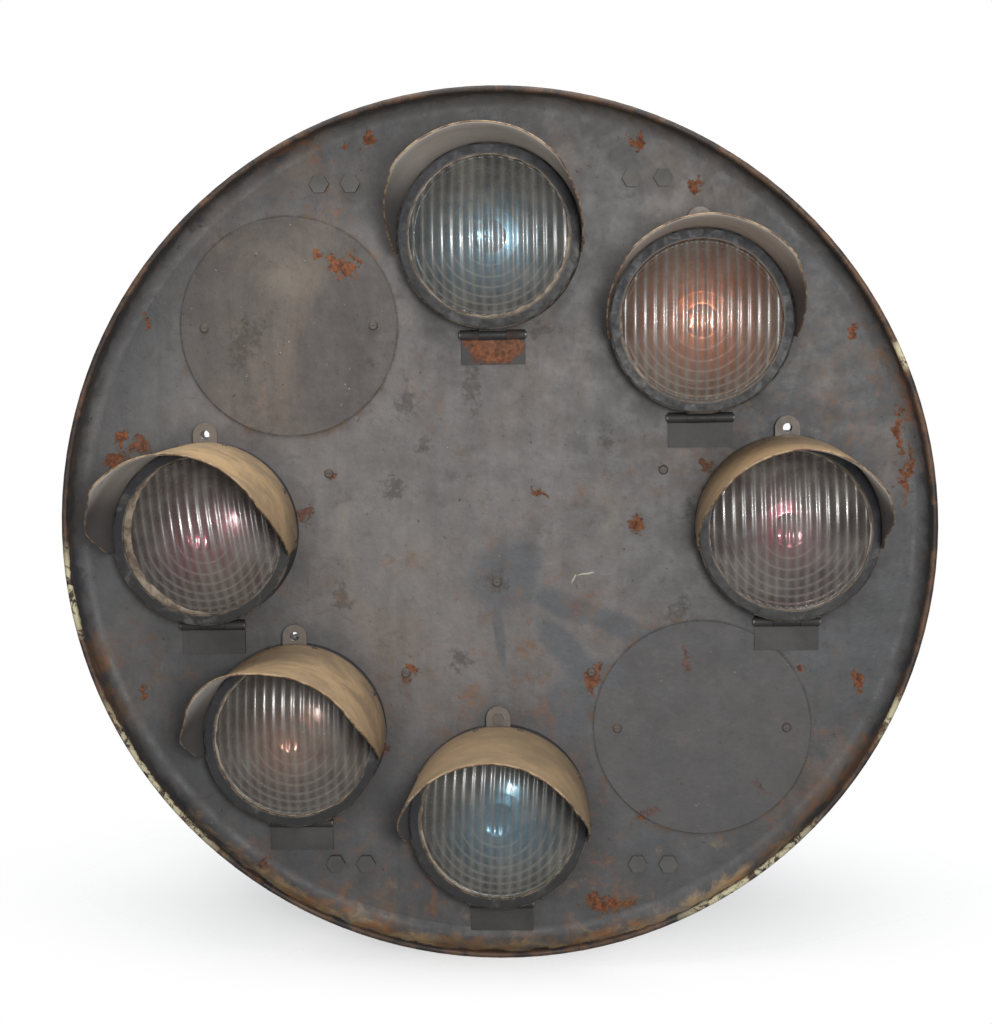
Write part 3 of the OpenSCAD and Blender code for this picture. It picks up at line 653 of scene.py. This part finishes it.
def hood_inside():
    """Pale paint, darkened by painted shade towards the door and down both flanks."""
    surface = Surface("hood_inside")
    tone = surface.shade(srgb(204, 196, 186), surface.noise(14.0, 5.0, 0.68, 0.5), 0.74, 1.26)
    # Painted shade towards the door and down both flanks.
    back = surface.times(surface.attribute("rear"), 0.40)
    tone = surface.blend(back, tone, srgb(74, 70, 70))
    painted_shade_flank = surface.times(surface.attribute("painted_shade_flank"), 0.9)
    tone = surface.blend(painted_shade_flank, tone, srgb(72, 70, 72))
    rust = surface.band(surface.noise(36.0, 8.0, 0.72, 0.8), 0.62, 0.70, 0.0, 0.8)
    tone = surface.blend(rust, tone, srgb(104, 70, 50))
    surface.set("Base Color", tone)
    surface.set("Roughness", 0.7)
    surface.set("Normal", surface.bump(surface.noise(150.0, 6.0, 0.7), 0.3, 0.0007))
    return surface.material


def hood_rim():
    """The sheet's cut edge, rubbed bare and partly rusted."""
    surface = Surface("hood_rim")
    tone = surface.noise(55.0, 7.0, 0.72, 0.5)
    colour = surface.blend(surface.band(tone, 0.4, 0.62), srgb(96, 66, 44), srgb(176, 150, 116))
    surface.set("Base Color", colour)
    surface.set("Roughness", 0.6)
    surface.set("Normal", surface.bump(tone, 0.3, 0.0006))
    return surface.material


def dusty_glass(lamp):
    """Clear pressed glass under years of dust: glossy, and greyest in the valleys of its flutes."""
    surface = Surface(f"cover_glass_{lamp}")
    dust = surface.attribute("valley")
    cloud = surface.noise(16.0, 6.0, 0.65, 0.4)
    grit = surface.noise(190.0, 4.0, 0.7)
    tone = surface.blend(surface.band(cloud, 0.35, 0.7), srgb(142, 137, 130), srgb(166, 162, 152))
    gritty = surface.band(grit, 0.62, 0.72, 0.0, 0.5)
    surface.set("Base Color", surface.blend(gritty, tone, srgb(200, 196, 186)))
    haze = surface.band(cloud, 0.3, 0.7, 0.13, 0.25)
    cover = surface.plus(haze, surface.times(dust, 0.20))
    cover = surface.plus(cover, surface.band(grit, 0.64, 0.72, 0.0, 0.25))
    surface.set("Alpha", cover)
    surface.set("Roughness", surface.band(cloud, 0.3, 0.7, 0.22, 0.34))
    surface.set("IOR", 1.75)
    surface.set("Specular IOR Level", 0.85)
    surface.set("Coat Weight", surface.band(surface.attribute("outward"), 0.2, 0.95, 1.0, 0.15))
    surface.set("Coat Roughness", 0.06)
    return surface.material


def signal_glass(lamp, look):
    """Coloured stepped glass: deep at the edge, with a painted reflection of the light near the middle
    in stripes as the flutes break it up, and dusty step edges that are paler still as painted light
    below.
    """
    surface = Surface(f"signal_glass_{lamp}")
    local = surface.from_lamp(lamp)
    # A painted reflection of the light: a bright patch near the middle, in stripes where the flutes
    # break it up.
    shifted = surface.vector("SUBTRACT", local, (look["painted_reflection_x"] * MM, 0.0, look["painted_reflection_up"] * MM))
    squeezed = surface.vector("MULTIPLY", shifted, (look["painted_reflection_squeeze"], 0.0, 1.0))
    painted_reflection = surface.band(surface.length(squeezed), look["painted_reflection_size"] * MM, 0.0)
    across = surface.times(surface.axis("X", local), 2 * math.pi / (FLUTE_PITCH * MM))
    painted_reflection_stripes = surface.band(surface.math("COSINE", across), -0.95, -0.1, look.get("painted_reflection_bar_low", 0.6), 1.0)
    painted_reflection = surface.times(painted_reflection, painted_reflection_stripes)
    deep = surface.shade(srgb(*look["deep"]), surface.noise(26.0, 5.0, 0.6), 0.7, 1.3)
    tone = surface.blend(painted_reflection, deep, srgb(*look["painted_reflection"]))
    # Dust on the step edges shows only in the bottom half, paler there as painted light where the ledges
    # face the light from above.
    painted_light_bottom_half = surface.band(surface.axis("Z", local), 0.01, -0.05, 0.0, 0.5)
    ledge = surface.times(surface.attribute("ledge"), painted_light_bottom_half)
    surface.set("Base Color", surface.blend(ledge, tone, srgb(206, 200, 184)))
    surface.set("Metallic", surface.band(ledge, 0.0, 0.3, 0.55, 0.0))
    surface.set("Roughness", surface.band(surface.noise(70.0, 4.0), 0.3, 0.7, 0.22, 0.34))
    radius = surface.length(surface.flat(local))
    surface.set("Coat Weight", surface.band(radius, 0.018, 0.026, 1.0, 0.2))
    surface.set("Coat Roughness", 0.05)
    surface.set("Coat IOR", 1.9)
    return surface.material


def putty():
    """Dried, cracked glazing putty."""
    surface = Surface("glazing_putty")
    tone = surface.noise(40.0, 7.0, 0.7, 0.4)
    colour = surface.blend(surface.band(tone, 0.38, 0.62), srgb(120, 104, 90), srgb(186, 170, 150))
    crack = surface.band(surface.noise(120.0, 6.0, 0.75), 0.60, 0.66, 0.0, 0.8)
    surface.set("Base Color", surface.blend(crack, colour, srgb(66, 56, 48)))
    surface.set("Roughness", 0.85)
    surface.set("Normal", surface.bump(surface.noise(130.0, 6.0, 0.75), 0.6, 0.0012))
    return surface.material


# ---------------------------------------------------------------- mesh helpers


def add_object(name, vertices, faces, materials):
    mesh = bpy.data.meshes.new(name)
    mesh.from_pydata(vertices, [], faces)
    for material in materials:
        mesh.materials.append(material)
    mesh.validate()
    piece = bpy.data.objects.new(name, mesh)
    bpy.context.scene.collection.objects.link(piece)
    return piece


def smooth(piece, sharp_degrees):
    piece.data.shade_smooth()
    piece.data.set_sharp_from_angle(angle=math.radians(sharp_degrees))


def grid_faces(rows, columns, wrap=False):
    """Quads over a grid stored row by row; wrap joins the last column to the first."""
    faces = []
    for row in range(rows - 1):
        for column in range(columns if wrap else columns - 1):
            beside = (column + 1) % columns
            low, high = row * columns, (row + 1) * columns
            faces.append((low + column, low + beside, high + beside, high + column))
    return faces


def give(piece, name, values):
    """Stores one number a vertex, for the materials to read."""
    layer = piece.data.attributes.new(name, "FLOAT", "POINT")
    layer.data.foreach_set("value", values)


# ---------------------------------------------------------------- the lamps' own looks

GREEN = {"slot": "green_glass", "deep": (38, 62, 70), "painted_reflection": (104, 172, 200)}
RED = {"slot": "red_glass", "deep": (82, 36, 46), "painted_reflection": (180, 74, 96)}
YELLOW = {"slot": "yellow_glass", "deep": (88, 62, 50), "painted_reflection": (200, 122, 78)}

# lean: the flutes' turn, clockwise, in degrees. painted_reflection_*: a painted reflection of the
# light in the lens, where it sits, its size, its squeeze sideways and how dark it is between flutes.
# reach, droop and turn: the hood's mouth, in millimetres and degrees. dents: degrees from the top,
# reach, depth outwards and two spreads. putty: width, height, where it is widest in degrees, over
# what spread, and how much wider. tan: a paler hood's paint.
LOOKS = {
    "top": {
        **GREEN, "lean": 0.0, "painted_reflection_x": 0, "painted_reflection_up": -6, "painted_reflection_size": 96, "painted_reflection_squeeze": 0.7,
        "reach": 262, "droop": 0, "turn": -2, "dents": (), "putty": (2.2, 0.8, 310, 50, 3.0),
    },
    "upper_right": {
        "slot": "yellow_glass", "deep": (104, 64, 44), "painted_reflection": (255, 138, 62), "lean": 0.5,
        "painted_reflection_x": 2, "painted_reflection_up": 2, "painted_reflection_size": 122, "painted_reflection_squeeze": 0.8, "painted_reflection_bar_low": 0.45,
        "reach": 255, "droop": 0, "turn": 3, "dents": (), "putty": (1.2, 0.6, 200, 30, 2.0),
    },
    "right": {
        **RED, "tan": (180, 149, 110), "lean": -1.0,
        "painted_reflection_x": -3, "painted_reflection_up": -8, "painted_reflection_size": 62, "painted_reflection_squeeze": 0.9,
        "reach": 262, "droop": 7, "turn": 3, "dents": ((52, 230, -7, 24, 60), (88, 150, -11, 24, 70)),
        "putty": (1.6, 0.7, 20, 60, 2.0),
    },
    "bottom": {
        **GREEN, "lean": 3.5, "painted_reflection_x": 4, "painted_reflection_up": -14, "painted_reflection_size": 84, "painted_reflection_squeeze": 0.8,
        "reach": 265, "droop": 0, "turn": 0, "dents": (), "putty": (1.6, 0.6, 200, 50, 2.5),
    },
    "lower_left": {
        **YELLOW, "tan": (188, 158, 121), "lean": 0.0,
        "painted_reflection_x": -12, "painted_reflection_up": -12, "painted_reflection_size": 76, "painted_reflection_squeeze": 0.9,
        "reach": 262, "droop": 2, "turn": 4, "rust": 1.0,
        "dents": ((-34, 262, 9, 20, 50), (-62, 250, -3, 20, 60), (-88, 160, 7, 16, 50)),
        "putty": (1.6, 0.6, 190, 60, 2.0),
    },
    "left": {
        **RED, "tan": (192, 161, 120), "lean": -8.0,
        "painted_reflection_x": -6, "painted_reflection_up": -10, "painted_reflection_size": 74, "painted_reflection_squeeze": 0.9,
        "reach": 262, "droop": 3, "turn": 4, "dents": ((-58, 232, -4, 16, 34), (-84, 150, 7, 16, 40)),
        "putty": (1.6, 0.7, 200, 62, 11.0),
    },
}

# Hoods, in millimetres forward of the disc and out from the lamp's axis. The mouth is cut back
# from the full reach at SIDE_HIGH above the axis to SIDE_REACH at SIDE_LOW.
HOOD_REAR = 27
HOOD_STRAIGHT = 64
HOOD_SHEET = 2.0
HOOD_RADIUS = 119.1
HOOD_FLARE = 4.0
HOOD_CURL = 2.0
SIDE_REACH = 88
SIDE_LOW = -21
SIDE_HIGH = 76
SIDE_CURVE = 1.25
HALF_SPREAD = 100.2
HOOD_ROWS = 30
HOOD_COLUMNS = 81
CAD_REACH = (DISC_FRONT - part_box("hood_top")[0].y) / MM
# The rust patch on a hood: degrees from the top, its spread, and its spread back from the mouth.
HOOD_RUST = (-32, 16, 26)


def hood_reach(look, turn):
    """How far forward the hood goes at an angle from its top, in millimetres."""
    up = HOOD_RADIUS * math.cos(math.radians(turn))
    share = clamp((up - SIDE_LOW) / (SIDE_HIGH - SIDE_LOW))
    eased = 1 - (1 - share) ** SIDE_CURVE
    ragged = 1.6 * noise.noise(Vector((turn * 0.11, look["reach"] * 0.1, look["turn"])))
    return SIDE_REACH + (look["reach"] - SIDE_REACH) * eased + ragged


def hood_shape(lamp, look, turn, forward):
    """A point of the hood's middle surface, with its flare, droop and dents."""
    beyond = clamp((forward - HOOD_STRAIGHT) / (CAD_REACH - HOOD_STRAIGHT))
    radius = HOOD_RADIUS + HOOD_FLARE * beyond
    radius += HOOD_CURL * smooth_step(0.93, 1.0, forward / look["reach"])
    for dent_turn, dent_forward, depth, turn_spread, forward_spread in look["dents"]:
        across = (turn - dent_turn) / turn_spread
        along = (forward - dent_forward) / forward_spread
        radius += depth * math.exp(-across * across - along * along)
    seed = Vector((turn * 0.035, forward * 0.012, HUBS[lamp].x * 7 + HUBS[lamp].z * 3))
    radius += 1.3 * beyond * noise.noise(seed)
    angle = math.radians(turn + look["turn"] * beyond)
    x, up = radius * math.sin(angle), radius * math.cos(angle)
    return lamp_point(lamp, x * MM, (up - look["droop"] * beyond ** 1.4) * MM, forward * MM)


def add_hood(lamp, look, inside, rim):
    """A bent sheet round the top of a door, with what its paint reads stored at its vertices."""
    # Masks stored below: the mouth's rubbed edge, which is also a painted highlight; painted shade
    # towards the disc, down the outer sides and down the inner flanks; and a rust patch.
    vertices, edge, rear, side, painted_shade_flank, rust = [], [], [], [], [], []
    rust_turn, turn_spread, edge_spread = HOOD_RUST
    for row in range(HOOD_ROWS):
        for column in range(HOOD_COLUMNS):
            turn = HALF_SPREAD * (1 - 2 * column / (HOOD_COLUMNS - 1))
            reach = hood_reach(look, turn)
            forward = HOOD_REAR + (reach - HOOD_REAR) * row / (HOOD_ROWS - 1)
            vertices.append(hood_shape(lamp, look, turn, forward))
            edge.append(smooth_step(9, 0, reach - forward))
            rear.append(smooth_step(120, 30, forward))
            side.append(smooth_step(55, 95, abs(turn)))
            painted_shade_flank.append(smooth_step(38, 76, abs(turn)))
            across, along = (turn - rust_turn) / turn_spread, (reach - forward) / edge_spread
            rust.append(look.get("rust", 0.0) * math.exp(-across ** 2 - along ** 2))
    materials = [hood_outside(lamp, look), inside, rim]
    faces = grid_faces(HOOD_ROWS, HOOD_COLUMNS)
    hood = add_object(f"hood_shell_{lamp}", vertices, faces, materials)
    marks = (("edge", edge), ("rear", rear), ("side", side), ("painted_shade_flank", painted_shade_flank), ("rust", rust))
    for name, values in marks:
        give(hood, name, values)
    shell = hood.modifiers.new("sheet", "SOLIDIFY")
    shell.thickness = HOOD_SHEET * MM
    shell.offset = 0.0
    shell.material_offset = 1
    shell.material_offset_rim = 2
    smooth(hood, 60)
    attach(hood, f"door_{lamp}")
    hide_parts(f"hood_{lamp}")


# Cover glass, in millimetres: its edge stands GLASS_BASE in front of the disc.
GLASS_RADIUS = 103.0
GLASS_BASE = 60.0
GLASS_RISE = 22.0
GLASS_BALL = (GLASS_RADIUS ** 2 + GLASS_RISE ** 2) / (2 * GLASS_RISE)
GLASS_SHEET = 4.0
GLASS_ROWS = 61
FLUTE_PITCH = 12.7
FLUTE_DEPTH = 1.7
FLUTE_END = 97.0
FLUTE_COLUMNS = 10


def glass_front(radius):
    """How far forward the cover glass stands at a radius, without its flutes, in millimetres."""
    return GLASS_BASE + GLASS_RISE - GLASS_BALL + math.sqrt(GLASS_BALL ** 2 - radius ** 2)


def add_cover_glass(lamp, look):
    """A domed glass pressed with upright flutes, as a closed shell GLASS_SHEET thick."""
    half = GLASS_RADIUS * 0.999
    columns = 2 * int(half / FLUTE_PITCH * FLUTE_COLUMNS) + 1
    lean = math.radians(look["lean"])
    vertices, valley, outward = [], [], []
    for row in range(GLASS_ROWS):
        for column in range(columns):
            across = half * (2 * column / (columns - 1) - 1) * 0.9995
            along = math.sqrt(half ** 2 - across ** 2) * (2 * row / (GLASS_ROWS - 1) - 1)
            phase = across / FLUTE_PITCH + 0.5
            place = 2 * (phase - math.floor(phase)) - 1
            radius = math.hypot(across, along)
            depth = FLUTE_DEPTH * place * place * smooth_step(GLASS_RADIUS, FLUTE_END, radius)
            x = across * math.cos(lean) + along * math.sin(lean)
            up = along * math.cos(lean) - across * math.sin(lean)
            forward = glass_front(radius) - depth
            vertices.append(lamp_point(lamp, x * MM, up * MM, forward * MM))
            valley.append(place * place)
            outward.append(radius / GLASS_RADIUS)
    faces = grid_faces(GLASS_ROWS, columns)
    glass = add_object(f"fluted_glass_{lamp}", vertices, faces, [dusty_glass(lamp)])
    give(glass, "valley", valley)
    give(glass, "outward", outward)
    shell = glass.modifiers.new("thickness", "SOLIDIFY")
    shell.thickness = GLASS_SHEET * MM
    shell.offset = -1.0
    smooth(glass, 70)
    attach(glass, f"door_{lamp}")
    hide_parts(f"cover_glass_{lamp}")


# Coloured lens, in millimetres. Each step's face falls back as if cut from a curve of LENS_CURVE.
STEP_RADII = (22, 37, 52, 65, 77, 87, 97, 103)
DISH_DEPTH = 4.0
DISH_RINGS = 9
RIPPLE_PITCH = 10.4
RIPPLE_DEPTH = 0.55
RIPPLE_FADE = 5
LENS_FRONT = 53.6
LENS_BACK = 38.2
LENS_FLANGE = 112.0
LENS_SEAT = 49.2
LENS_CURVE = 170.0
LENS_SEGMENTS = 96
AXIS_HOLE = 0.05


def revolved(name, lamp, profile, materials):
    """A disc turned about a lamp's axis from (radius, forward) points in millimetres."""
    vertices = []
    for radius, forward in profile:
        for step in range(LENS_SEGMENTS):
            turn = 2 * math.pi * step / LENS_SEGMENTS
            x, up = radius * math.cos(turn), radius * math.sin(turn)
            vertices.append(lamp_point(lamp, x * MM, up * MM, forward * MM))
    faces = grid_faces(len(profile), LENS_SEGMENTS, wrap=True)
    return add_object(name, vertices, faces, materials)


def add_signal_lens(lamp, look):
    """Coloured lens with its steps towards the cover glass, a dished centre, and a closed back."""
    dish = STEP_RADII[0]
    profile = []
    dusty_rows = []  # the points at each step's inner and outer edge, where dust lies
    for ring in range(DISH_RINGS + 1):
        radius = max(AXIS_HOLE, dish * ring / DISH_RINGS)
        profile.append((radius, LENS_FRONT - DISH_DEPTH * (1 - (radius / dish) ** 2)))
    for inner, outer in zip(STEP_RADII, STEP_RADII[1:]):
        fall = (outer - inner) * (inner + outer) / 2 / LENS_CURVE
        dusty_rows.append(len(profile))
        slope = fall / (outer - inner)
        profile += [(inner + 0.2, LENS_FRONT), (inner + 1.6, LENS_FRONT - 1.2 * slope)]
        profile.append(((inner + outer) / 2, LENS_FRONT - 0.47 * fall))
        profile.append((outer - 2.4, LENS_FRONT - fall + 2.3 * slope))
        dusty_rows.append(len(profile))
        profile.append((outer, LENS_FRONT - fall))
    profile += [(LENS_FLANGE, LENS_FRONT - 1.0), (LENS_FLANGE, LENS_SEAT), (100.0, LENS_SEAT)]
    profile += [(80.0, 44.0), (40.0, LENS_BACK + 1.0), (AXIS_HOLE, LENS_BACK)]
    lens = revolved(f"stepped_lens_{lamp}", lamp, profile, [signal_glass(lamp, look)])
    dusty = [float(row in dusty_rows) for row in range(len(profile))]
    give(lens, "ledge", [value for value in dusty for _ in range(LENS_SEGMENTS)])
    hub = HUBS[lamp]
    for vertex in lens.data.vertices[:LENS_SEGMENTS * DISH_RINGS]:
        x, up = (vertex.co.x - hub.x) / MM, (vertex.co.z - hub.z) / MM
        inside = smooth_step(dish, dish - RIPPLE_FADE, math.hypot(x, up))
        vertex.co.y -= RIPPLE_DEPTH * MM * inside * math.cos(2 * math.pi * x / RIPPLE_PITCH)
    smooth(lens, 20)
    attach(lens, f"door_{lamp}")
    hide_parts(f"color_lens_{lamp}")


PUTTY_OUTER = 104.4
PUTTY_LEAST = 0.7
PUTTY_STEPS = 240
PUTTY_SECTION = 8


def add_putty(lamp, look, material):
    """Uneven glazing putty in the joint between the glass and the door's lip, wider on one side."""
    width_base, height, wide_at, wide_spread, widest = look["putty"]
    vertices = []
    for step in range(PUTTY_STEPS):
        turn = 360 * step / PUTTY_STEPS
        away = (turn - wide_at + 180) % 360 - 180
        right, high = math.cos(math.radians(turn)), math.sin(math.radians(turn))
        ragged = noise.noise(Vector((right * 9, high * 9, HUBS[lamp].x * 20)))
        bulge = widest * math.exp(-((away / wide_spread) ** 4))
        width = max(PUTTY_LEAST, width_base * (1 + 0.7 * ragged) + bulge * (1 + 0.22 * ragged))
        for point in range(PUTTY_SECTION):
            share = point / (PUTTY_SECTION / 2)
            top = share <= 1
            across = share if top else 2 - share
            radius = PUTTY_OUTER - width * across
            lift = height * math.sin(math.pi * across) + 0.5 if top else -1.2
            forward = glass_front(min(radius, GLASS_RADIUS)) + lift
            x, up = radius * right, radius * high
            vertices.append(lamp_point(lamp, x * MM, up * MM, forward * MM))
    faces = []
    for step in range(PUTTY_STEPS):
        here = step * PUTTY_SECTION
        after = (step + 1) % PUTTY_STEPS * PUTTY_SECTION
        for point in range(PUTTY_SECTION):
            beside = (point + 1) % PUTTY_SECTION
            faces.append((here + point, here + beside, after + beside, after + point))
    bead = add_object(f"glazing_putty_{lamp}", vertices, faces, [material])
    smooth(bead, 70)
    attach(bead, f"door_{lamp}")


# Hood screws: degrees from the top and millimetres forward. Profile: shares of radius and height.
HOOD_SCREWS = ((-14, 40), (14, 40), (-62, 42), (62, 42), (-94, 44), (94, 44))
SCREW_RADIUS = 4.0
SCREW_HEIGHT = 2.2
SCREW_PROFILE = ((1.0, -0.6), (1.0, 0.25), (0.86, 0.62), (0.55, 0.9), (0.05, 1.0))


def screw_head(place, out):
    """Vertices and faces of a round screw head standing on place and facing out."""
    steps = 14
    side = out.orthogonal().normalized()
    other = out.cross(side)
    radius, height = SCREW_RADIUS * MM, SCREW_HEIGHT * MM
    vertices = []
    for share, rise in SCREW_PROFILE:
        for step in range(steps):
            turn = 2 * math.pi * step / steps
            spoke = side * math.cos(turn) + other * math.sin(turn)
            vertices.append(place + spoke * radius * share + out * height * rise)
    rings = len(SCREW_PROFILE)
    faces = grid_faces(rings, steps, wrap=True)
    faces.append(tuple(reversed(range(steps))))
    faces.append(tuple(range((rings - 1) * steps, rings * steps)))
    return vertices, faces


def add_hood_screws(lamp, look, material):
    """The screws that fasten a hood round its door, as one piece."""
    vertices, faces = [], []
    for turn, forward in HOOD_SCREWS:
        place = hood_shape(lamp, {**look, "dents": ()}, turn, forward)
        out = place - lamp_point(lamp, 0, 0, forward * MM)
        out.normalize()
        some, quads = screw_head(place + out * MM, out)
        faces += [tuple(index + len(vertices) for index in face) for face in quads]
        vertices += some
    heads = add_object(f"hood_screws_{lamp}", vertices, faces, [material])
    smooth(heads, 50)
    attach(heads, f"door_{lamp}")


# ---------------------------------------------------------------- dressing the CAD pieces


def leaf_marks():
    """Where the top lamp's hinge leaf has rusted through its paint."""
    hub = HUBS["top"]
    x, z = hub.x / MM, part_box("hinge_leaves")[1].z / MM - 20
    return ((x + 2, z, 46, 34), (x + 14, z - 2, 34, 26))


# The hinge leaves are dark past this distance in front of the disc, which is where knuckles start.
KNUCKLE_FROM = 0.0058


def cad_materials():
    """One material for each slot of the CAD pieces that keep their CAD shape."""
    zinc = bare_metal("zinc_steel", (150, 148, 144), 0.4, 0.35)
    leaf = old_paint("hinge_rust", (69, 67, 66), 0.35, 0.6, leaf_marks(), (156, 96, 64), KNUCKLE_FROM)
    return {
        "disc_paint": disc_paint(),
        "blank_paint": blank_paint(),
        "screw_steel": old_paint("screw_steel", (92, 84, 78), 0.75, 0.55),
        "hinge_rust": leaf,
        "pin_steel": bare_metal("pin_steel", (132, 128, 122), 0.45, 0.6),
        "gasket_rubber": moulded("gasket_rubber", (38, 38, 38), 0.75),
        "zinc_steel": zinc,
        "phenolic": moulded("phenolic", (58, 46, 40), 0.35, 120.0),
        "bulb_glass": clear_glass(),
        "brass": bare_metal("brass", (168, 138, 84), 0.3, 0.1),
        "cable_sheath": moulded("cable_sheath", (40, 40, 41), 0.5),
        "rear_paint": old_paint("rear_paint", (94, 95, 96), 0.6),
        "bolt_paint": old_paint("bolt_paint", (84, 82, 80), 0.3),
        "box_paint": old_paint("box_paint", (104, 106, 107), 0.5),
        "housing_paint": old_paint("housing_paint", (88, 88, 89), 0.65),
    }


def dress(node, material):
    mesh = NODES[node].data
    mesh.materials.clear()
    mesh.materials.append(material)
    smooth(NODES[node], 32)


def dress_cad_nodes():
    materials = cad_materials()
    for row in frame["record"]["subparts"]:
        if row["material_slot"] in materials:
            dress(row["node"], materials[row["material_slot"]])
    for lamp in LAMPS:
        dress(f"lens_door_{lamp}", door_paint(lamp))


# ---------------------------------------------------------------- the whole object

bpy.context.scene.view_settings.view_transform = "Standard"
add_camera()
add_lights()
add_world()
add_floor()
dress_cad_nodes()
inner_paint, worn_rim, putty_mix = hood_inside(), hood_rim(), putty()
screw_paint = old_paint("hood_screw_paint", (78, 70, 60), 0.6)
for lamp_name, lamp_look in LOOKS.items():
    add_hood(lamp_name, lamp_look, inner_paint, worn_rim)
    add_hood_screws(lamp_name, lamp_look, screw_paint)
    add_cover_glass(lamp_name, lamp_look)
    add_signal_lens(lamp_name, lamp_look)
    add_putty(lamp_name, lamp_look, putty_mix)

bpy.context.view_layer.update()
